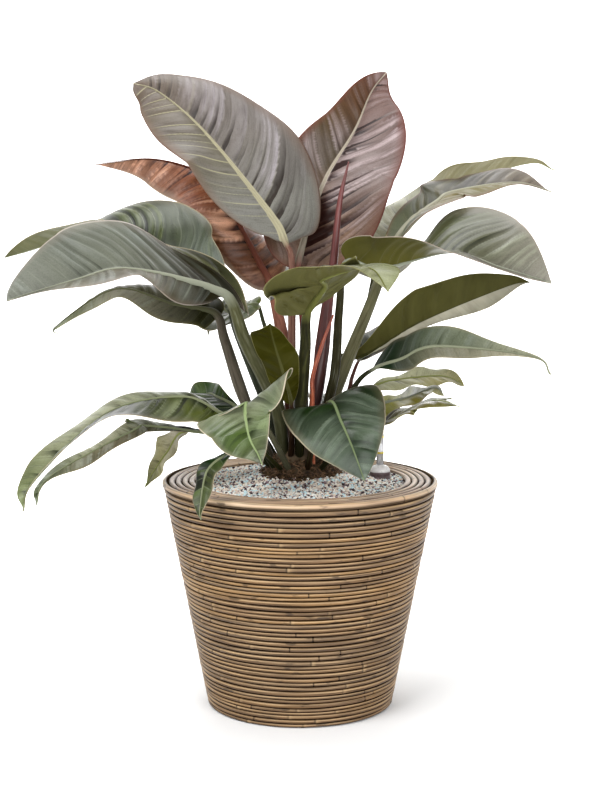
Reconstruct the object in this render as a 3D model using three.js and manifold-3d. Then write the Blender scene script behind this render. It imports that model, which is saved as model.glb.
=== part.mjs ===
// A potted imperial red philodendron in a round rattan planter, with a water gauge.
// Millimetres, +Z up. The origin is the centre of the planter's foot, on the floor.
// The viewer of the reference picture stands on the -Y side, so -Y is the front and +X the right.

import * as THREE from 'three';
import { mergeVertices } from 'three/addons/utils/BufferGeometryUtils.js';
import Module from 'manifold-3d';

const wasm = await Module();
wasm.setup();

// Planter
const PLANTER_HEIGHT = 282;
const RIM_RADIUS = 170;
const FOOT_RADIUS = 115;
const CANE_THICKNESS = 6.5;
const LINER_WALL = 4;
const RIM_CANES = 5;
const RIM_CANE_RADIUS = 3.95;
const RIM_CANE_PITCH = 8.2;
const HOOP_HEIGHT = 6.5;
const WRAP_RIDGES = 12;
const WRAP_BOTTOM = 1;
const RIDGE_DEPTH = 2.4;
const ROUND_STEPS = 32;

// Filling
const SOIL_RADIUS = 47;
const SOIL_TOP = 290;
const GRANULE_EDGE = 278;
const GRANULE_RISE = 11;
const GRANULE_BUMP = 1.6;
const SOIL_BUMP = 2.5;
const ROOT_BALL_RADIUS = 41;
const ROOT_BALL_BOTTOM = 120;
const CROWN_RADIUS = 40;
const CROWN_TOP = 325;
const STEM_RADIUS = 26;
const STEM_BOTTOM = 250;

// Clearance kept between neighbours that touch on the real plant
const GAP = 0.3;

// Water gauge, standing in the granules on the right
const GAUGE_X = 99.5;
const GAUGE_Y = 18;
const GAUGE_RADIUS = 13;
const SIGHT_RADIUS = 4.6;
const GAUGE_COLLAR_TOP = 287;
const GAUGE_DOME_TOP = 296;
const SIGHT_TOP = 343;
const TUBE_WALL = 1;
const CAP_HEIGHT = 4;
const PIPE_BOTTOM = 70;
const PIPE_BORE = 7.5;
const PIPE_LID = 7;
const ROD_RADIUS = 1.2;
const ROD_BORE = 1.8;
const FLOAT_RADIUS = 6.6;
const FLOAT_LENGTH = 32;
const MARK_RADIUS = 2.8;
const MARK_HEIGHT = 4;

// Leaves
const BLADE_THICKNESS = 1.2;
const RIB_DEPTH = 2.6;
const EDGE_WAVE = 3;
const WAVES = 2.5;
const WAVE_SHIFT = 0.3;
const LOBE_END = 0.3;
const LEAST_BEND = 0.5;
const CURVE_STEPS = 24;
const LARGE_WIDTH = 40;
const LARGE_ROWS = [0, 0.04, 0.12, 0.23, 0.35, 0.47, 0.6, 0.73, 0.85, 0.94, 1];
const SMALL_ROWS = [0, 0.05, 0.17, 0.34, 0.52, 0.7, 0.87, 1];
const BLADE_COLUMNS = [0, 0.12, 0.6, 1];
const END_WIDTH = 2;
const TIP_WIDTH = 0.8;
const STALK_SIDES = 5;
const STALK_BULGE = 0.4;
const STALK_END = 0.62;
const STALK_TIP_RADIUS = 1.3;

// Rings of petiole feet on the crown: distance from the axis and height of the foot
const INNER = { radius: 9, height: 314 };
const MIDDLE = { radius: 21, height: 307 };
const OUTER = { radius: 32, height: 295 };

const COLOURS = {
  cane: '#a98a63',
  rimCane: '#b6987a',
  hoop: '#8d6f4d',
  liner: '#17140f',
  granules: '#b9aca2',
  soil: '#3c2c22',
  crown: '#3d4028',
  mauve: '#8f8783',
  bronze: '#87706b',
  copper: '#a4553a',
  green: '#5c7458',
  olive: '#55581f',
  greyGreen: '#7f8f84',
  red: '#7c3a37',
  orange: '#c4623c',
  gaugeDark: '#3b2f3a',
  gaugeClear: '#dfe0e0',
  gaugeMark: '#c8402a',
};

// One half of a blade: its width, the angle that it is lifted out of the face's plane at base, middle
// and tip, the further bend from midrib to edge, the place where it is widest, the powers that shape
// its taper to the tip and its rounding to the base, and how far its base is swept back
function half(width, lift, bend, widest, taper, base, lobe) {
  return { width, lift, bend, widest, taper, base, lobe };
}

// Each leaf has a foot on the crown (ring and compass angle in degrees, 0 = +X, 90 = back), the
// stalk's radius at the foot and further up, the points that the stalk passes, the points of the
// midrib from base to tip, and the way the upper face looks at the base and at the tip
const LEAVES = [
  {
    name: 'leaf_top_left', colour: 'mauve', stalkRadii: [4.5, 5], foot: [INNER, 215],
    stalk: [[-10, 8, 450], [-10, 20, 545]],
    rib: [[-19, 22, 572], [-36, 34, 604], [-116, 60, 703], [-173, 80, 753], [-208, 90, 766]],
    face: [[0.3, -0.9, 0.35], [0.1, -0.8, 0.6]],
    left: half(64, [2, 35, 0], -23, 0.54, 0.58, 1.71, 0),
    right: half(103, [12, 12, 10], -37, 0.36, 0.74, 2.07, 0.04),
  },
  {
    name: 'leaf_top_right', colour: 'bronze', stalkRadii: [4.5, 5.5], foot: [INNER, 50],
    stalk: [[5, 30, 460], [0, 50, 512]],
    rib: [[0, 74, 553], [30, 101, 642], [69, 126, 707], [91, 148, 756], [111, 156, 782]],
    face: [[-0.15, -0.95, 0.25], [-0.15, -0.9, 0.3]],
    left: half(61, [35, 28, 30], -12, 0.2, 0.67, 2.4, 0.35),
    right: half(90, [0, 27, 10], -19, 0.43, 0.89, 2.83, 0.2),
  },
  {
    name: 'leaf_copper', colour: 'copper', stalkRadii: [6, 8], foot: [INNER, 140],
    stalk: [[-20, 28, 440], [-30, 58, 490]],
    rib: [[-40, 78, 524], [-72, 118, 582], [-111, 151, 644], [-187, 187, 671], [-271, 212, 665]],
    face: [[0.3, 0.1, 0.9]],
    left: half(54, [-61, -62, -62], -19, 0.48, 1.1, 2.4, 0.3),
    right: half(50, [50, -25, -45], -18, 0.21, 1.58, 2, 0.1),
  },
  {
    name: 'leaf_left_high', colour: 'green', stalkRadii: [5.5, 8.5], foot: [MIDDLE, 165],
    stalk: [[-46, 5, 390], [-77, 25, 465]],
    rib: [[-92, 49, 511], [-143, 71, 541], [-178, 87, 567], [-240, 103, 585], [-377, 113, 548]],
    face: [[0, 0, 1]],
    left: half(70, [45, 8, 41], -1, 0.38, 0.79, 2.53, 0.67),
    right: half(72, [76, 34, -10], -10, 0.4, 1.59, 1.58, -0.17),
  },
  {
    name: 'leaf_left_front', colour: 'greyGreen', stalkRadii: [6.5, 10], foot: [MIDDLE, 205],
    stalk: [[-30, -15, 380], [-66, -22, 454]],
    rib: [[-89, -20, 510], [-141, -50, 533], [-208, -95, 547], [-257, -130, 536], [-332, -150, 514]],
    face: [[0, 0, 1]],
    left: half(42, [-84, -7, 0], -8, 0.44, 1.24, 2.16, -0.06),
    right: half(78, [26, 47, 67], -2, 0.4, 0.62, 2.41, 0.43),
  },
  {
    name: 'leaf_left_low', colour: 'olive', stalkRadii: [4, 8], foot: [OUTER, 160],
    stalk: [[-68, 22, 375], [-93, 40, 447]],
    rib: [[-107, 48, 483], [-157, 55, 493], [-231, 60, 511], [-305, 58, 465], [-301, 52, 456]],
    face: [[0, -0.2, 1]],
    left: half(29, [-43, -13, -24], -11, 0.05, 0.91, 2.39, 0.23),
    right: half(36, [27, 9, 15], -17, 0.15, 2.65, 2.4, 0.25),
  },
  {
    name: 'leaf_rear_left_small', colour: 'green', stalkRadii: [3.5, 3.1], foot: [OUTER, 122],
    stalk: [[-31, 45, 412], [-46, 60, 470]],
    rib: [[-57, 70, 492], [-90, 110, 476], [-105, 145, 484], [-123, 175, 440]],
    face: [[-0.2, -0.3, 1]],
    left: half(49, [-11, 20, 20], -17, 0.3, 1.25, 3.17, 0.31),
    right: half(27, [18, 20, 21], -10, 0.42, 1.24, 2.36, 0.25),
  },
  {
    name: 'leaf_centre_front', colour: 'olive', stalkRadii: [5, 8.5], foot: [MIDDLE, 268],
    stalk: [[0, -30, 365], [6, -40, 445]],
    rib: [[9, -48, 492], [29, -78, 525], [27, -108, 536], [78, -142, 550], [99, -172, 526]],
    face: [[-0.2, 0.4, 0.9]],
    left: half(51, [21, 32, 17], -18, 0.61, 0.95, 2.74, -0.13),
    right: half(69, [-4, 10, -8], -17, 0.36, 1.53, 3.49, 0.04),
  },
  {
    name: 'leaf_right_front', colour: 'greyGreen', stalkRadii: [5, 6], foot: [MIDDLE, 306],
    stalk: [[40, -28, 404], [47, -26, 490]],
    rib: [[56, -22, 550], [97, -36, 544], [178, -50, 563], [239, -60, 545], [296, -68, 528]],
    face: [[0, 0, 1]],
    left: half(96, [-32, 34, 80], -13, 0.56, 0.94, 1.88, 0.25),
    right: half(65, [67, 7, -11], 0, 0.33, 1.2, 2.11, -0.01),
  },
  {
    name: 'leaf_right_high', colour: 'mauve', stalkRadii: [6, 8.5], foot: [MIDDLE, 337],
    stalk: [[43, -10, 391], [79, 18, 477]],
    rib: [[124, 58, 578], [170, 68, 620], [195, 76, 633], [269, 84, 643], [316, 88, 632]],
    face: [[0, 0, 1]],
    left: half(63, [48, 11, 34], -4, 0.67, 1.53, 1.47, 0.46),
    right: half(55, [21, -10, -6], -6, 0.18, 1.72, 2.1, 0.18),
  },
  {
    name: 'leaf_right_back', colour: 'olive', stalkRadii: [5, 4.5], foot: [MIDDLE, 42],
    stalk: [[44, 40, 384], [81, 70, 472]],
    rib: [[109, 114, 571], [171, 168, 621], [237, 202, 648], [308, 228, 667], [340, 240, 658]],
    face: [[0, 0, 1]],
    left: half(48, [10, 10, 10], 0, 0.4, 1.25, 2.4, 0.25),
    right: half(46, [50, 45, 30], 0, 0.4, 1.25, 2.4, 0.25),
  },
  {
    name: 'leaf_right_olive', colour: 'olive', stalkRadii: [5, 4.5], foot: [MIDDLE, 8],
    stalk: [[36, 18, 388]],
    rib: [[50, 30, 426], [79, 24, 432], [147, 5, 475], [247, -15, 519], [276, -28, 526]],
    face: [[-0.3, 0.9, 0.3]],
    left: half(18, [-53, -40, -40], -29, 0.77, 1.15, 1.05, 0.06),
    right: half(41, [-5, 8, -2], 10, 0.49, 0.76, 1.05, 0.29),
  },
  {
    name: 'leaf_right_dark', colour: 'green', stalkRadii: [4, 3.6], foot: [OUTER, 330],
    stalk: [[62, -55, 397]],
    rib: [[88, -85, 429], [117, -110, 443], [157, -132, 460], [263, -155, 451], [282, -170, 432]],
    face: [[-0.1, -0.4, 0.9]],
    left: half(31, [13, 53, 60], 2, 0.12, 1.8, 2.41, 0.22),
    right: half(19, [-32, -19, -6], -16, 0.24, 1.8, 1.05, 0.21),
  },
  {
    name: 'leaf_right_light', colour: 'olive', stalkRadii: [3.5, 3.1], foot: [OUTER, 8],
    stalk: [[55, 8, 367]],
    rib: [[91, 12, 395], [125, 25, 402], [178, 38, 404], [206, 48, 391]],
    face: [[0, -0.2, 1]],
    left: half(19, [10, 15, 30], 3, 0.59, 0.4, 1.35, 0.26),
    right: half(23, [-11, -6, -12], -2, 0.5, 0.87, 2.52, 0.27),
  },
  {
    name: 'leaf_right_pale', colour: 'greyGreen', stalkRadii: [3.5, 3.1], foot: [OUTER, 346],
    stalk: [[60, -20, 355]],
    rib: [[92, -38, 378], [128, -48, 389], [160, -56, 402], [172, -62, 394]],
    face: [[0, -0.3, 1]],
    left: half(13, [28, 23, 2], -1, 0.55, 1.39, 2.43, 0.25),
    right: half(30, [-13, 4, -6], 1, 0.32, 0.69, 2.63, 0.26),
  },
  {
    name: 'leaf_right_lowest', colour: 'olive', stalkRadii: [3.5, 3.1], foot: [OUTER, 315],
    stalk: [[60, -73, 343]],
    rib: [[95, -97, 364], [144, -120, 391], [158, -137, 398], [183, -147, 393]],
    face: [[0, 0.2, 1]],
    left: half(35, [33, 17, 3], -1, 0.44, 1.13, 2.53, 0.08),
    right: half(33, [-1, -10, -16], -19, 0.69, 1.88, 2.44, 0.08),
  },
  {
    name: 'leaf_front_right', colour: 'green', stalkRadii: [4, 3.6], foot: [OUTER, 285],
    stalk: [[20, -70, 358]],
    rib: [[36, -98, 391], [48, -125, 371], [61, -142, 342], [74, -152, 307]],
    face: [[0.1, -0.8, 0.6]],
    left: half(60, [4, 13, 1], -15, 0.07, 0.83, 1.86, 0.28),
    right: half(64, [10, 8, 0], -13, 0.15, 1, 2.39, 0.31),
  },
  {
    name: 'leaf_front_left', colour: 'green', stalkRadii: [4, 3.6], foot: [OUTER, 249],
    stalk: [[-41, -75, 358]],
    rib: [[-63, -105, 390], [-59, -135, 357], [-48, -155, 338], [-43, -165, 328]],
    face: [[-0.1, -0.8, 0.5]],
    left: half(74, [39, 49, 5], 1, 0.05, 1.41, 2.73, 0.12),
    right: half(59, [-7, 24, -3], -11, 0.14, 1.18, 1.05, -0.35),
  },
  {
    name: 'leaf_left_long_upper', colour: 'green', stalkRadii: [4.5, 4], foot: [OUTER, 210],
    stalk: [[-63, -40, 347]],
    rib: [[-94, -62, 372], [-140, -80, 395], [-227, -105, 378], [-309, -130, 302], [-320, -145, 270]],
    face: [[0, -0.2, 1]],
    left: half(54, [-37, 15, 51], 0, 0.28, 1.71, 1.9, 0.14),
    right: half(30, [12, 3, 16], -9, 0.81, 1.47, 2.35, 0.26),
  },
  {
    name: 'leaf_left_long_lower', colour: 'green', stalkRadii: [4, 3.6], foot: [OUTER, 193],
    stalk: [[-76, -8, 331]],
    rib: [[-116, -20, 342], [-186, -28, 352], [-202, -42, 348], [-300, -60, 295], [-316, -70, 262]],
    face: [[0, -0.2, 1]],
    left: half(17, [-21, -17, -2], -12, 0.59, 2.06, 1.05, 0.3),
    right: half(21, [9, 14, 0], -12, 0.45, 0.56, 1.89, 0.26),
  },
  {
    name: 'leaf_left_small', colour: 'olive', stalkRadii: [3, 2.7], foot: [OUTER, 177],
    stalk: [[-84, 12, 328]],
    rib: [[-143, 22, 337], [-166, 26, 310], [-185, 28, 282], [-195, 28, 265]],
    face: [[-0.5, -0.5, 0.5]],
    left: half(17, [9, 12, -3], 0, 0.48, 0.86, 2.2, 0.25),
    right: half(28, [6, 5, 1], -1, 0.32, 1.32, 1.05, 0.22),
  },
  {
    name: 'leaf_over_rim', colour: 'green', stalkRadii: [3, 2.7], foot: [OUTER, 230],
    stalk: [[-53, -85, 335]],
    rib: [[-79, -122, 335], [-106, -148, 319], [-114, -168, 279], [-113, -180, 268]],
    face: [[-0.5, -0.7, 0.5]],
    left: half(16, [12, 4, 0], -1, 0.45, 1.3, 1.57, 0.23),
    right: half(13, [6, 6, 1], -2, 0.58, 1.13, 1.9, 0.25),
  },
  {
    name: 'leaf_rear_left_dark', colour: 'green', stalkRadii: [4, 3.6], foot: [OUTER, 141],
    stalk: [[-52, 38, 338]],
    rib: [[-79, 60, 361], [-106, 95, 370], [-122, 130, 369], [-151, 165, 346]],
    face: [[-0.2, -0.5, 0.9]],
    left: half(44, [17, 23, 0], -10, 0.36, 1.25, 2.67, 0.32),
    right: half(23, [30, 38, 38], 0, 0.9, 1.02, 1.29, 0.19),
  },
  {
    name: 'leaf_front_young', colour: 'olive', stalkRadii: [4, 3.6], foot: [MIDDLE, 238],
    stalk: [[-10, -36, 353]],
    rib: [[-11, -48, 386], [-19, -66, 419], [-30, -80, 458], [-35, -104, 484]],
    face: [[0.1, 0.9, 0.4]],
    left: half(22, [16, 13, -1], 0, 0.48, 0.85, 1.46, 0.21),
    right: half(28, [14, 27, -4], 1, 0.75, 0.98, 2.35, 0.21),
  },
  {
    name: 'leaf_rear_right', colour: 'greyGreen', stalkRadii: [3.5, 3.1], foot: [OUTER, 45],
    stalk: [[59, 60, 375], [66, 75, 398]],
    rib: [[78, 90, 422], [103, 115, 440], [137, 145, 441], [174, 180, 424]],
    face: [[0.1, -0.3, 0.9]],
    left: half(26, [20, 20, 0], -10, 0.4, 1.25, 2.4, 0.25),
    right: half(24, [20, 20, 0], -10, 0.4, 1.25, 2.4, 0.25),
  },
  {
    name: 'leaf_rear_upper', colour: 'green', stalkRadii: [4.5, 4], foot: [MIDDLE, 95],
    stalk: [[5, 45, 400], [8, 75, 470]],
    rib: [[10, 95, 500], [16, 135, 520], [13, 175, 520], [7, 220, 493]],
    face: [[0, -0.2, 1]],
    left: half(44, [20, 20, 0], -10, 0.4, 1.25, 2.4, 0.25),
    right: half(44, [20, 20, 0], -10, 0.4, 1.25, 2.4, 0.25),
  },
  {
    name: 'leaf_rear_low', colour: 'green', stalkRadii: [4, 3.6], foot: [OUTER, 80],
    stalk: [[23, 75, 332]],
    rib: [[34, 110, 352], [45, 150, 360], [51, 190, 347], [55, 225, 313]],
    face: [[0, -0.3, 0.9]],
    left: half(36, [20, 20, 0], -10, 0.4, 1.25, 2.4, 0.25),
    right: half(36, [20, 20, 0], -10, 0.4, 1.25, 2.4, 0.25),
  },
];

// Newest leaf, still rolled: a stout red stalk that runs into a slim pointed roll
const SPEAR = {
  foot: [INNER, 330],
  path: [[20, -6, 380], [27, -4, 443], [32, 0, 492], [40, 4, 549], [48, 8, 620], [59, 12, 669]],
  radii: [6.5, 8.5, 9.5, 8, 6, 3.5, 0.8],
};

// Dry sheath of an older leaf, standing loose in front of the red stalk
const SHEATH = {
  foot: [OUTER, 300],
  path: [[15, -36, 385], [15, -36, 412], [26, -34, 450], [40, -32, 487]],
  radii: [3.2, 3, 2.8, 2.4, 1.2],
};

const root = new THREE.Group();

function material(colour, roughness, metalness = 0) {
  return new THREE.MeshStandardMaterial({ color: new THREE.Color(colour), roughness, metalness });
}

function addMesh(name, geometry, meshMaterial) {
  const mesh = new THREE.Mesh(geometry, meshMaterial);
  mesh.name = name;
  root.add(mesh);
}

// A closed geometry as a solid for joining and cutting, with its faces turned outward
function solidOf(geometry) {
  const bare = geometry.clone();
  bare.deleteAttribute('normal');
  bare.deleteAttribute('uv');
  const merged = mergeVertices(bare, 1e-4);
  const vertProperties = new Float32Array(merged.attributes.position.array);
  const triVerts = new Uint32Array(merged.index.array);
  if (signedVolume(vertProperties, triVerts) < 0) {
    triVerts.reverse();
  }
  return new wasm.Manifold(new wasm.Mesh({ numProp: 3, vertProperties, triVerts }));
}

function signedVolume(positions, triangles) {
  const a = new THREE.Vector3();
  const b = new THREE.Vector3();
  const c = new THREE.Vector3();
  let six = 0;
  for (let i = 0; i < triangles.length; i += 3) {
    a.fromArray(positions, 3 * triangles[i]);
    b.fromArray(positions, 3 * triangles[i + 1]);
    c.fromArray(positions, 3 * triangles[i + 2]);
    six += a.dot(b.cross(c));
  }
  return six;
}

function geometryOf(solid) {
  const mesh = solid.getMesh();
  const geometry = new THREE.BufferGeometry();
  geometry.setAttribute('position', new THREE.BufferAttribute(new Float32Array(mesh.vertProperties), 3));
  geometry.setIndex(new THREE.BufferAttribute(new Uint32Array(mesh.triVerts), 1));
  geometry.computeVertexNormals();
  return geometry;
}

function indexedGeometry(points, triangles) {
  const geometry = new THREE.BufferGeometry();
  geometry.setFromPoints(points);
  geometry.setIndex(triangles);
  return geometry;
}

// A profile of [radius, height] points turned about the Z axis. lift(ring, segment) raises a point.
function turned(profile, segments, lift = () => 0) {
  const geometry = new THREE.LatheGeometry(profile.map(([r, z]) => new THREE.Vector2(r, z)), segments);
  const position = geometry.attributes.position;
  for (let i = 0; i < position.count; i += 1) {
    const ring = i % profile.length;
    const segment = Math.floor(i / profile.length) % segments;
    position.setY(i, position.getY(i) + lift(ring, profile[ring][0] === 0 ? 0 : segment));
  }
  return geometry.rotateX(Math.PI / 2);
}

// The same value from 0 to 1 for the same pair of whole numbers
function scatter(i, j) {
  const value = Math.sin(i * 12.9898 + j * 78.233) * 43758.5453;
  return value - Math.floor(value);
}

function planterRadius(z) {
  return FOOT_RADIUS + (RIM_RADIUS - FOOT_RADIUS) * z / PLANTER_HEIGHT;
}

function footPoint([ring, degrees]) {
  const angle = THREE.MathUtils.degToRad(degrees);
  return [ring.radius * Math.cos(angle), ring.radius * Math.sin(angle), ring.height];
}

// A smooth curve through the points, sampled evenly between each two of them
function curvePoints(points) {
  const corners = points.map((p) => new THREE.Vector3(...p));
  const curve = new THREE.CatmullRomCurve3(corners, false, 'catmullrom', 0.5);
  return curve.getPoints(CURVE_STEPS * (points.length - 1));
}

// A round rod along the points, with a radius at each, closed at both ends
function rod(points, radii, sides) {
  const vertices = [];
  const triangles = [];
  const side = new THREE.Vector3(0, 1, 0);
  points.forEach((point, i) => {
    const ahead = points[Math.min(i + 1, points.length - 1)];
    const behind = points[Math.max(i - 1, 0)];
    const along = new THREE.Vector3().subVectors(ahead, behind).normalize();
    side.addScaledVector(along, -side.dot(along)).normalize();
    const up = new THREE.Vector3().crossVectors(along, side);
    for (let k = 0; k < sides; k += 1) {
      const angle = 2 * Math.PI * k / sides;
      vertices.push(point.clone()
        .addScaledVector(side, radii[i] * Math.cos(angle))
        .addScaledVector(up, radii[i] * Math.sin(angle)));
    }
  });
  for (let i = 0; i < points.length - 1; i += 1) {
    for (let k = 0; k < sides; k += 1) {
      const a = i * sides + k;
      const b = i * sides + (k + 1) % sides;
      triangles.push(a, b, a + sides, b, b + sides, a + sides);
    }
  }
  const last = (points.length - 1) * sides;
  for (let k = 1; k < sides - 1; k += 1) {
    triangles.push(0, k + 1, k, last, last + k, last + k + 1);
  }
  return indexedGeometry(vertices, triangles);
}

// Half width of a blade at t from base (0) to tip (1), as a share of its greatest
function outline(t, widest, taper, base) {
  if (t < widest) {
    return (1 - (1 - t / widest) ** base) ** (1 / base);
  }
  return Math.max(Math.cos(Math.PI / 2 * (t - widest) / (1 - widest)), 0) ** taper;
}

function liftAt(lift, t) {
  return t < 0.5
    ? THREE.MathUtils.lerp(lift[0], lift[1], 2 * t)
    : THREE.MathUtils.lerp(lift[1], lift[2], 2 * t - 1);
}

// Places along a sampled midrib: point and direction at t of its length
function ribFrame(points) {
  const lengths = [0];
  for (let i = 1; i < points.length; i += 1) {
    lengths.push(lengths[i - 1] + points[i].distanceTo(points[i - 1]));
  }
  const total = lengths[lengths.length - 1];
  const pointAt = (t) => {
    const wanted = THREE.MathUtils.clamp(t, 0, 1) * total;
    let i = 1;
    while (i < points.length - 1 && lengths[i] < wanted) {
      i += 1;
    }
    const share = (wanted - lengths[i - 1]) / (lengths[i] - lengths[i - 1]);
    return new THREE.Vector3().lerpVectors(points[i - 1], points[i], share);
  };
  const alongAt = (t) => new THREE.Vector3().subVectors(pointAt(t + 0.01), pointAt(t - 0.01)).normalize();
  return { pointAt, alongAt };
}

// One point of the blade's middle surface; v runs from -1 (left edge) over 0 (midrib) to 1
function bladePoint(leaf, frame, t, v) {
  const side = v < 0 ? leaf.left : leaf.right;
  const share = Math.abs(v);
  const [face, tipFace = face] = leaf.face.map((f) => new THREE.Vector3(...f));
  const along = frame.alongAt(t);
  const up = face.clone().lerp(tipFace, t);
  up.addScaledVector(along, -up.dot(along)).normalize();
  const outward = new THREE.Vector3().crossVectors(along, up).multiplyScalar(Math.sign(v));
  const spread = outline(t, side.widest, side.taper, side.base);
  const reach = Math.max(side.width * spread, THREE.MathUtils.lerp(END_WIDTH, TIP_WIDTH, t));
  const start = THREE.MathUtils.degToRad(liftAt(side.lift, t));
  const bend = THREE.MathUtils.degToRad(side.bend || LEAST_BEND);
  const phase = 2 * Math.PI * (WAVES * t + (v > 0 ? WAVE_SHIFT : 0));
  const wave = EDGE_WAVE * share ** 2 * spread * Math.sin(phase);
  const out = reach * (Math.sin(start + bend * share) - Math.sin(start)) / bend;
  const rise = -reach * (Math.cos(start + bend * share) - Math.cos(start)) / bend + wave;
  const swept = side.lobe * side.width * share ** 2 * Math.max(1 - t / LOBE_END, 0) ** 2;
  return frame.pointAt(t)
    .addScaledVector(outward, out)
    .addScaledVector(up, rise)
    .addScaledVector(along, -swept);
}

// The blade as a closed thin solid; both faces are split into the same triangles, and the lower
// face is thickened along the midrib
function bladeGeometry(leaf, frame) {
  const across = [...BLADE_COLUMNS.slice(1).reverse().map((v) => -v), ...BLADE_COLUMNS];
  const columns = across.length;
  const rows = Math.max(leaf.left.width, leaf.right.width) > LARGE_WIDTH ? LARGE_ROWS : SMALL_ROWS;
  const middle = rows.flatMap((t) => across.map((v) => bladePoint(leaf, frame, t, v)));
  const cells = [];
  for (let i = 0; i < rows.length - 1; i += 1) {
    for (let j = 0; j < columns - 1; j += 1) {
      const a = i * columns + j;
      cells.push([a, a + 1, a + columns], [a + 1, a + columns + 1, a + columns]);
    }
  }
  const skin = indexedGeometry(middle, cells.flat());
  skin.computeVertexNormals();
  const normal = new THREE.Vector3();
  const upper = [];
  const lower = [];
  middle.forEach((point, i) => {
    const t = rows[Math.floor(i / columns)];
    const onRib = across[i % columns] === 0;
    const depth = BLADE_THICKNESS / 2 + (onRib ? RIB_DEPTH * (1 - t) : 0);
    normal.fromBufferAttribute(skin.attributes.normal, i);
    upper.push(point.clone().addScaledVector(normal, -BLADE_THICKNESS / 2));
    lower.push(point.clone().addScaledVector(normal, depth));
  });
  const count = middle.length;
  const triangles = cells.flatMap(([a, b, c]) => [a, c, b, a + count, b + count, c + count]);
  const wall = (a, b) => triangles.push(a, b, b + count, a, b + count, a + count);
  for (let j = 0; j < columns - 1; j += 1) {
    wall(j, j + 1);
    wall(count - 1 - j, count - 2 - j);
  }
  for (let i = 0; i < rows.length - 1; i += 1) {
    wall((i + 1) * columns, i * columns);
    wall((i + 1) * columns - 1, (i + 2) * columns - 1);
  }
  return indexedGeometry([...upper, ...lower], triangles);
}

// Stalk of a leaf, stoutest at STALK_BULGE of its length and slimmer towards the blade, running a
// little way into the midrib
function stalkRod(leaf, extra = 0) {
  const points = curvePoints([footPoint(leaf.foot), ...leaf.stalk, ...leaf.rib]);
  const baseIndex = CURVE_STEPS * (leaf.stalk.length + 1);
  const path = [];
  const radii = [];
  const [foot, stout] = leaf.stalkRadii;
  for (let i = 0; i <= baseIndex; i += CURVE_STEPS / 2) {
    const share = i / baseIndex;
    path.push(points[i]);
    radii.push(extra + (share < STALK_BULGE
      ? THREE.MathUtils.lerp(foot, stout, share / STALK_BULGE)
      : stout * THREE.MathUtils.lerp(1, STALK_END, (share - STALK_BULGE) / (1 - STALK_BULGE))));
  }
  path.push(points[baseIndex + CURVE_STEPS / 4]);
  radii.push(STALK_TIP_RADIUS + extra);
  return rod(path, radii, STALK_SIDES);
}

function leafSolid(leaf) {
  const points = curvePoints([footPoint(leaf.foot), ...leaf.stalk, ...leaf.rib]);
  const frame = ribFrame(points.slice(CURVE_STEPS * (leaf.stalk.length + 1)));
  return solidOf(bladeGeometry(leaf, frame)).add(solidOf(stalkRod(leaf)));
}

function stemRod(stem, extra = 0) {
  const points = curvePoints([footPoint(stem.foot), ...stem.path]);
  const step = CURVE_STEPS / 2;
  const path = points.filter((point, i) => i % step === 0);
  const radii = path.map((point, i) => {
    const place = i / 2;
    const low = Math.floor(place);
    const high = Math.min(low + 1, stem.radii.length - 1);
    return THREE.MathUtils.lerp(stem.radii[low], stem.radii[high], place - low) + extra;
  });
  return rod(path, radii, 8);
}

// Planter: black liner, rattan wrap with its rows of cane, hidden hoop and five rim canes
function addPlanter() {
  const rimSeat = PLANTER_HEIGHT - 2 * RIM_CANE_RADIUS;
  const linerTop = rimSeat - HOOP_HEIGHT - GAP;
  const linerOuter = (z) => planterRadius(z) - CANE_THICKNESS - GAP;
  const linerInner = (z) => linerOuter(z) - LINER_WALL;
  addMesh('planter_liner', turned([
    [0, 0], [linerOuter(0), 0], [linerOuter(linerTop), linerTop],
    [linerInner(linerTop), linerTop], [linerInner(LINER_WALL), LINER_WALL], [0, LINER_WALL],
  ], ROUND_STEPS), material(COLOURS.liner, 0.6));

  const pitch = (rimSeat - WRAP_BOTTOM) / WRAP_RIDGES;
  const wrap = [];
  for (let i = 0; i < WRAP_RIDGES; i += 1) {
    const z = WRAP_BOTTOM + i * pitch;
    wrap.push([planterRadius(z) - RIDGE_DEPTH, z], [planterRadius(z + pitch / 2), z + pitch / 2]);
  }
  wrap.push([planterRadius(rimSeat) - 1, rimSeat]);
  wrap.push([planterRadius(rimSeat) - CANE_THICKNESS, rimSeat]);
  wrap.push([planterRadius(WRAP_BOTTOM) - CANE_THICKNESS, WRAP_BOTTOM]);
  wrap.push(wrap[0]);
  addMesh('rattan_wrap', turned(wrap, ROUND_STEPS), material(COLOURS.cane, 0.65));

  const hoopBottom = linerTop + GAP;
  const hoopInner = RIM_RADIUS - RIM_CANES * RIM_CANE_PITCH;
  const hoopOuter = planterRadius(hoopBottom) - CANE_THICKNESS - GAP;
  addMesh('rim_hoop', turned([
    [hoopInner, hoopBottom], [hoopOuter, hoopBottom], [hoopOuter, rimSeat],
    [hoopInner, rimSeat], [hoopInner, hoopBottom],
  ], ROUND_STEPS), material(COLOURS.hoop, 0.8));

  for (let i = 0; i < RIM_CANES; i += 1) {
    const radius = RIM_RADIUS - RIM_CANE_RADIUS - i * RIM_CANE_PITCH;
    const cane = new THREE.TorusGeometry(radius, RIM_CANE_RADIUS, 5, ROUND_STEPS);
    cane.translate(0, 0, PLANTER_HEIGHT - RIM_CANE_RADIUS);
    addMesh(`rim_cane_${i + 1}`, cane, material(COLOURS.rimCane, 0.55));
  }
  return { linerTop, linerInner, hoopInner };
}

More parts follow.
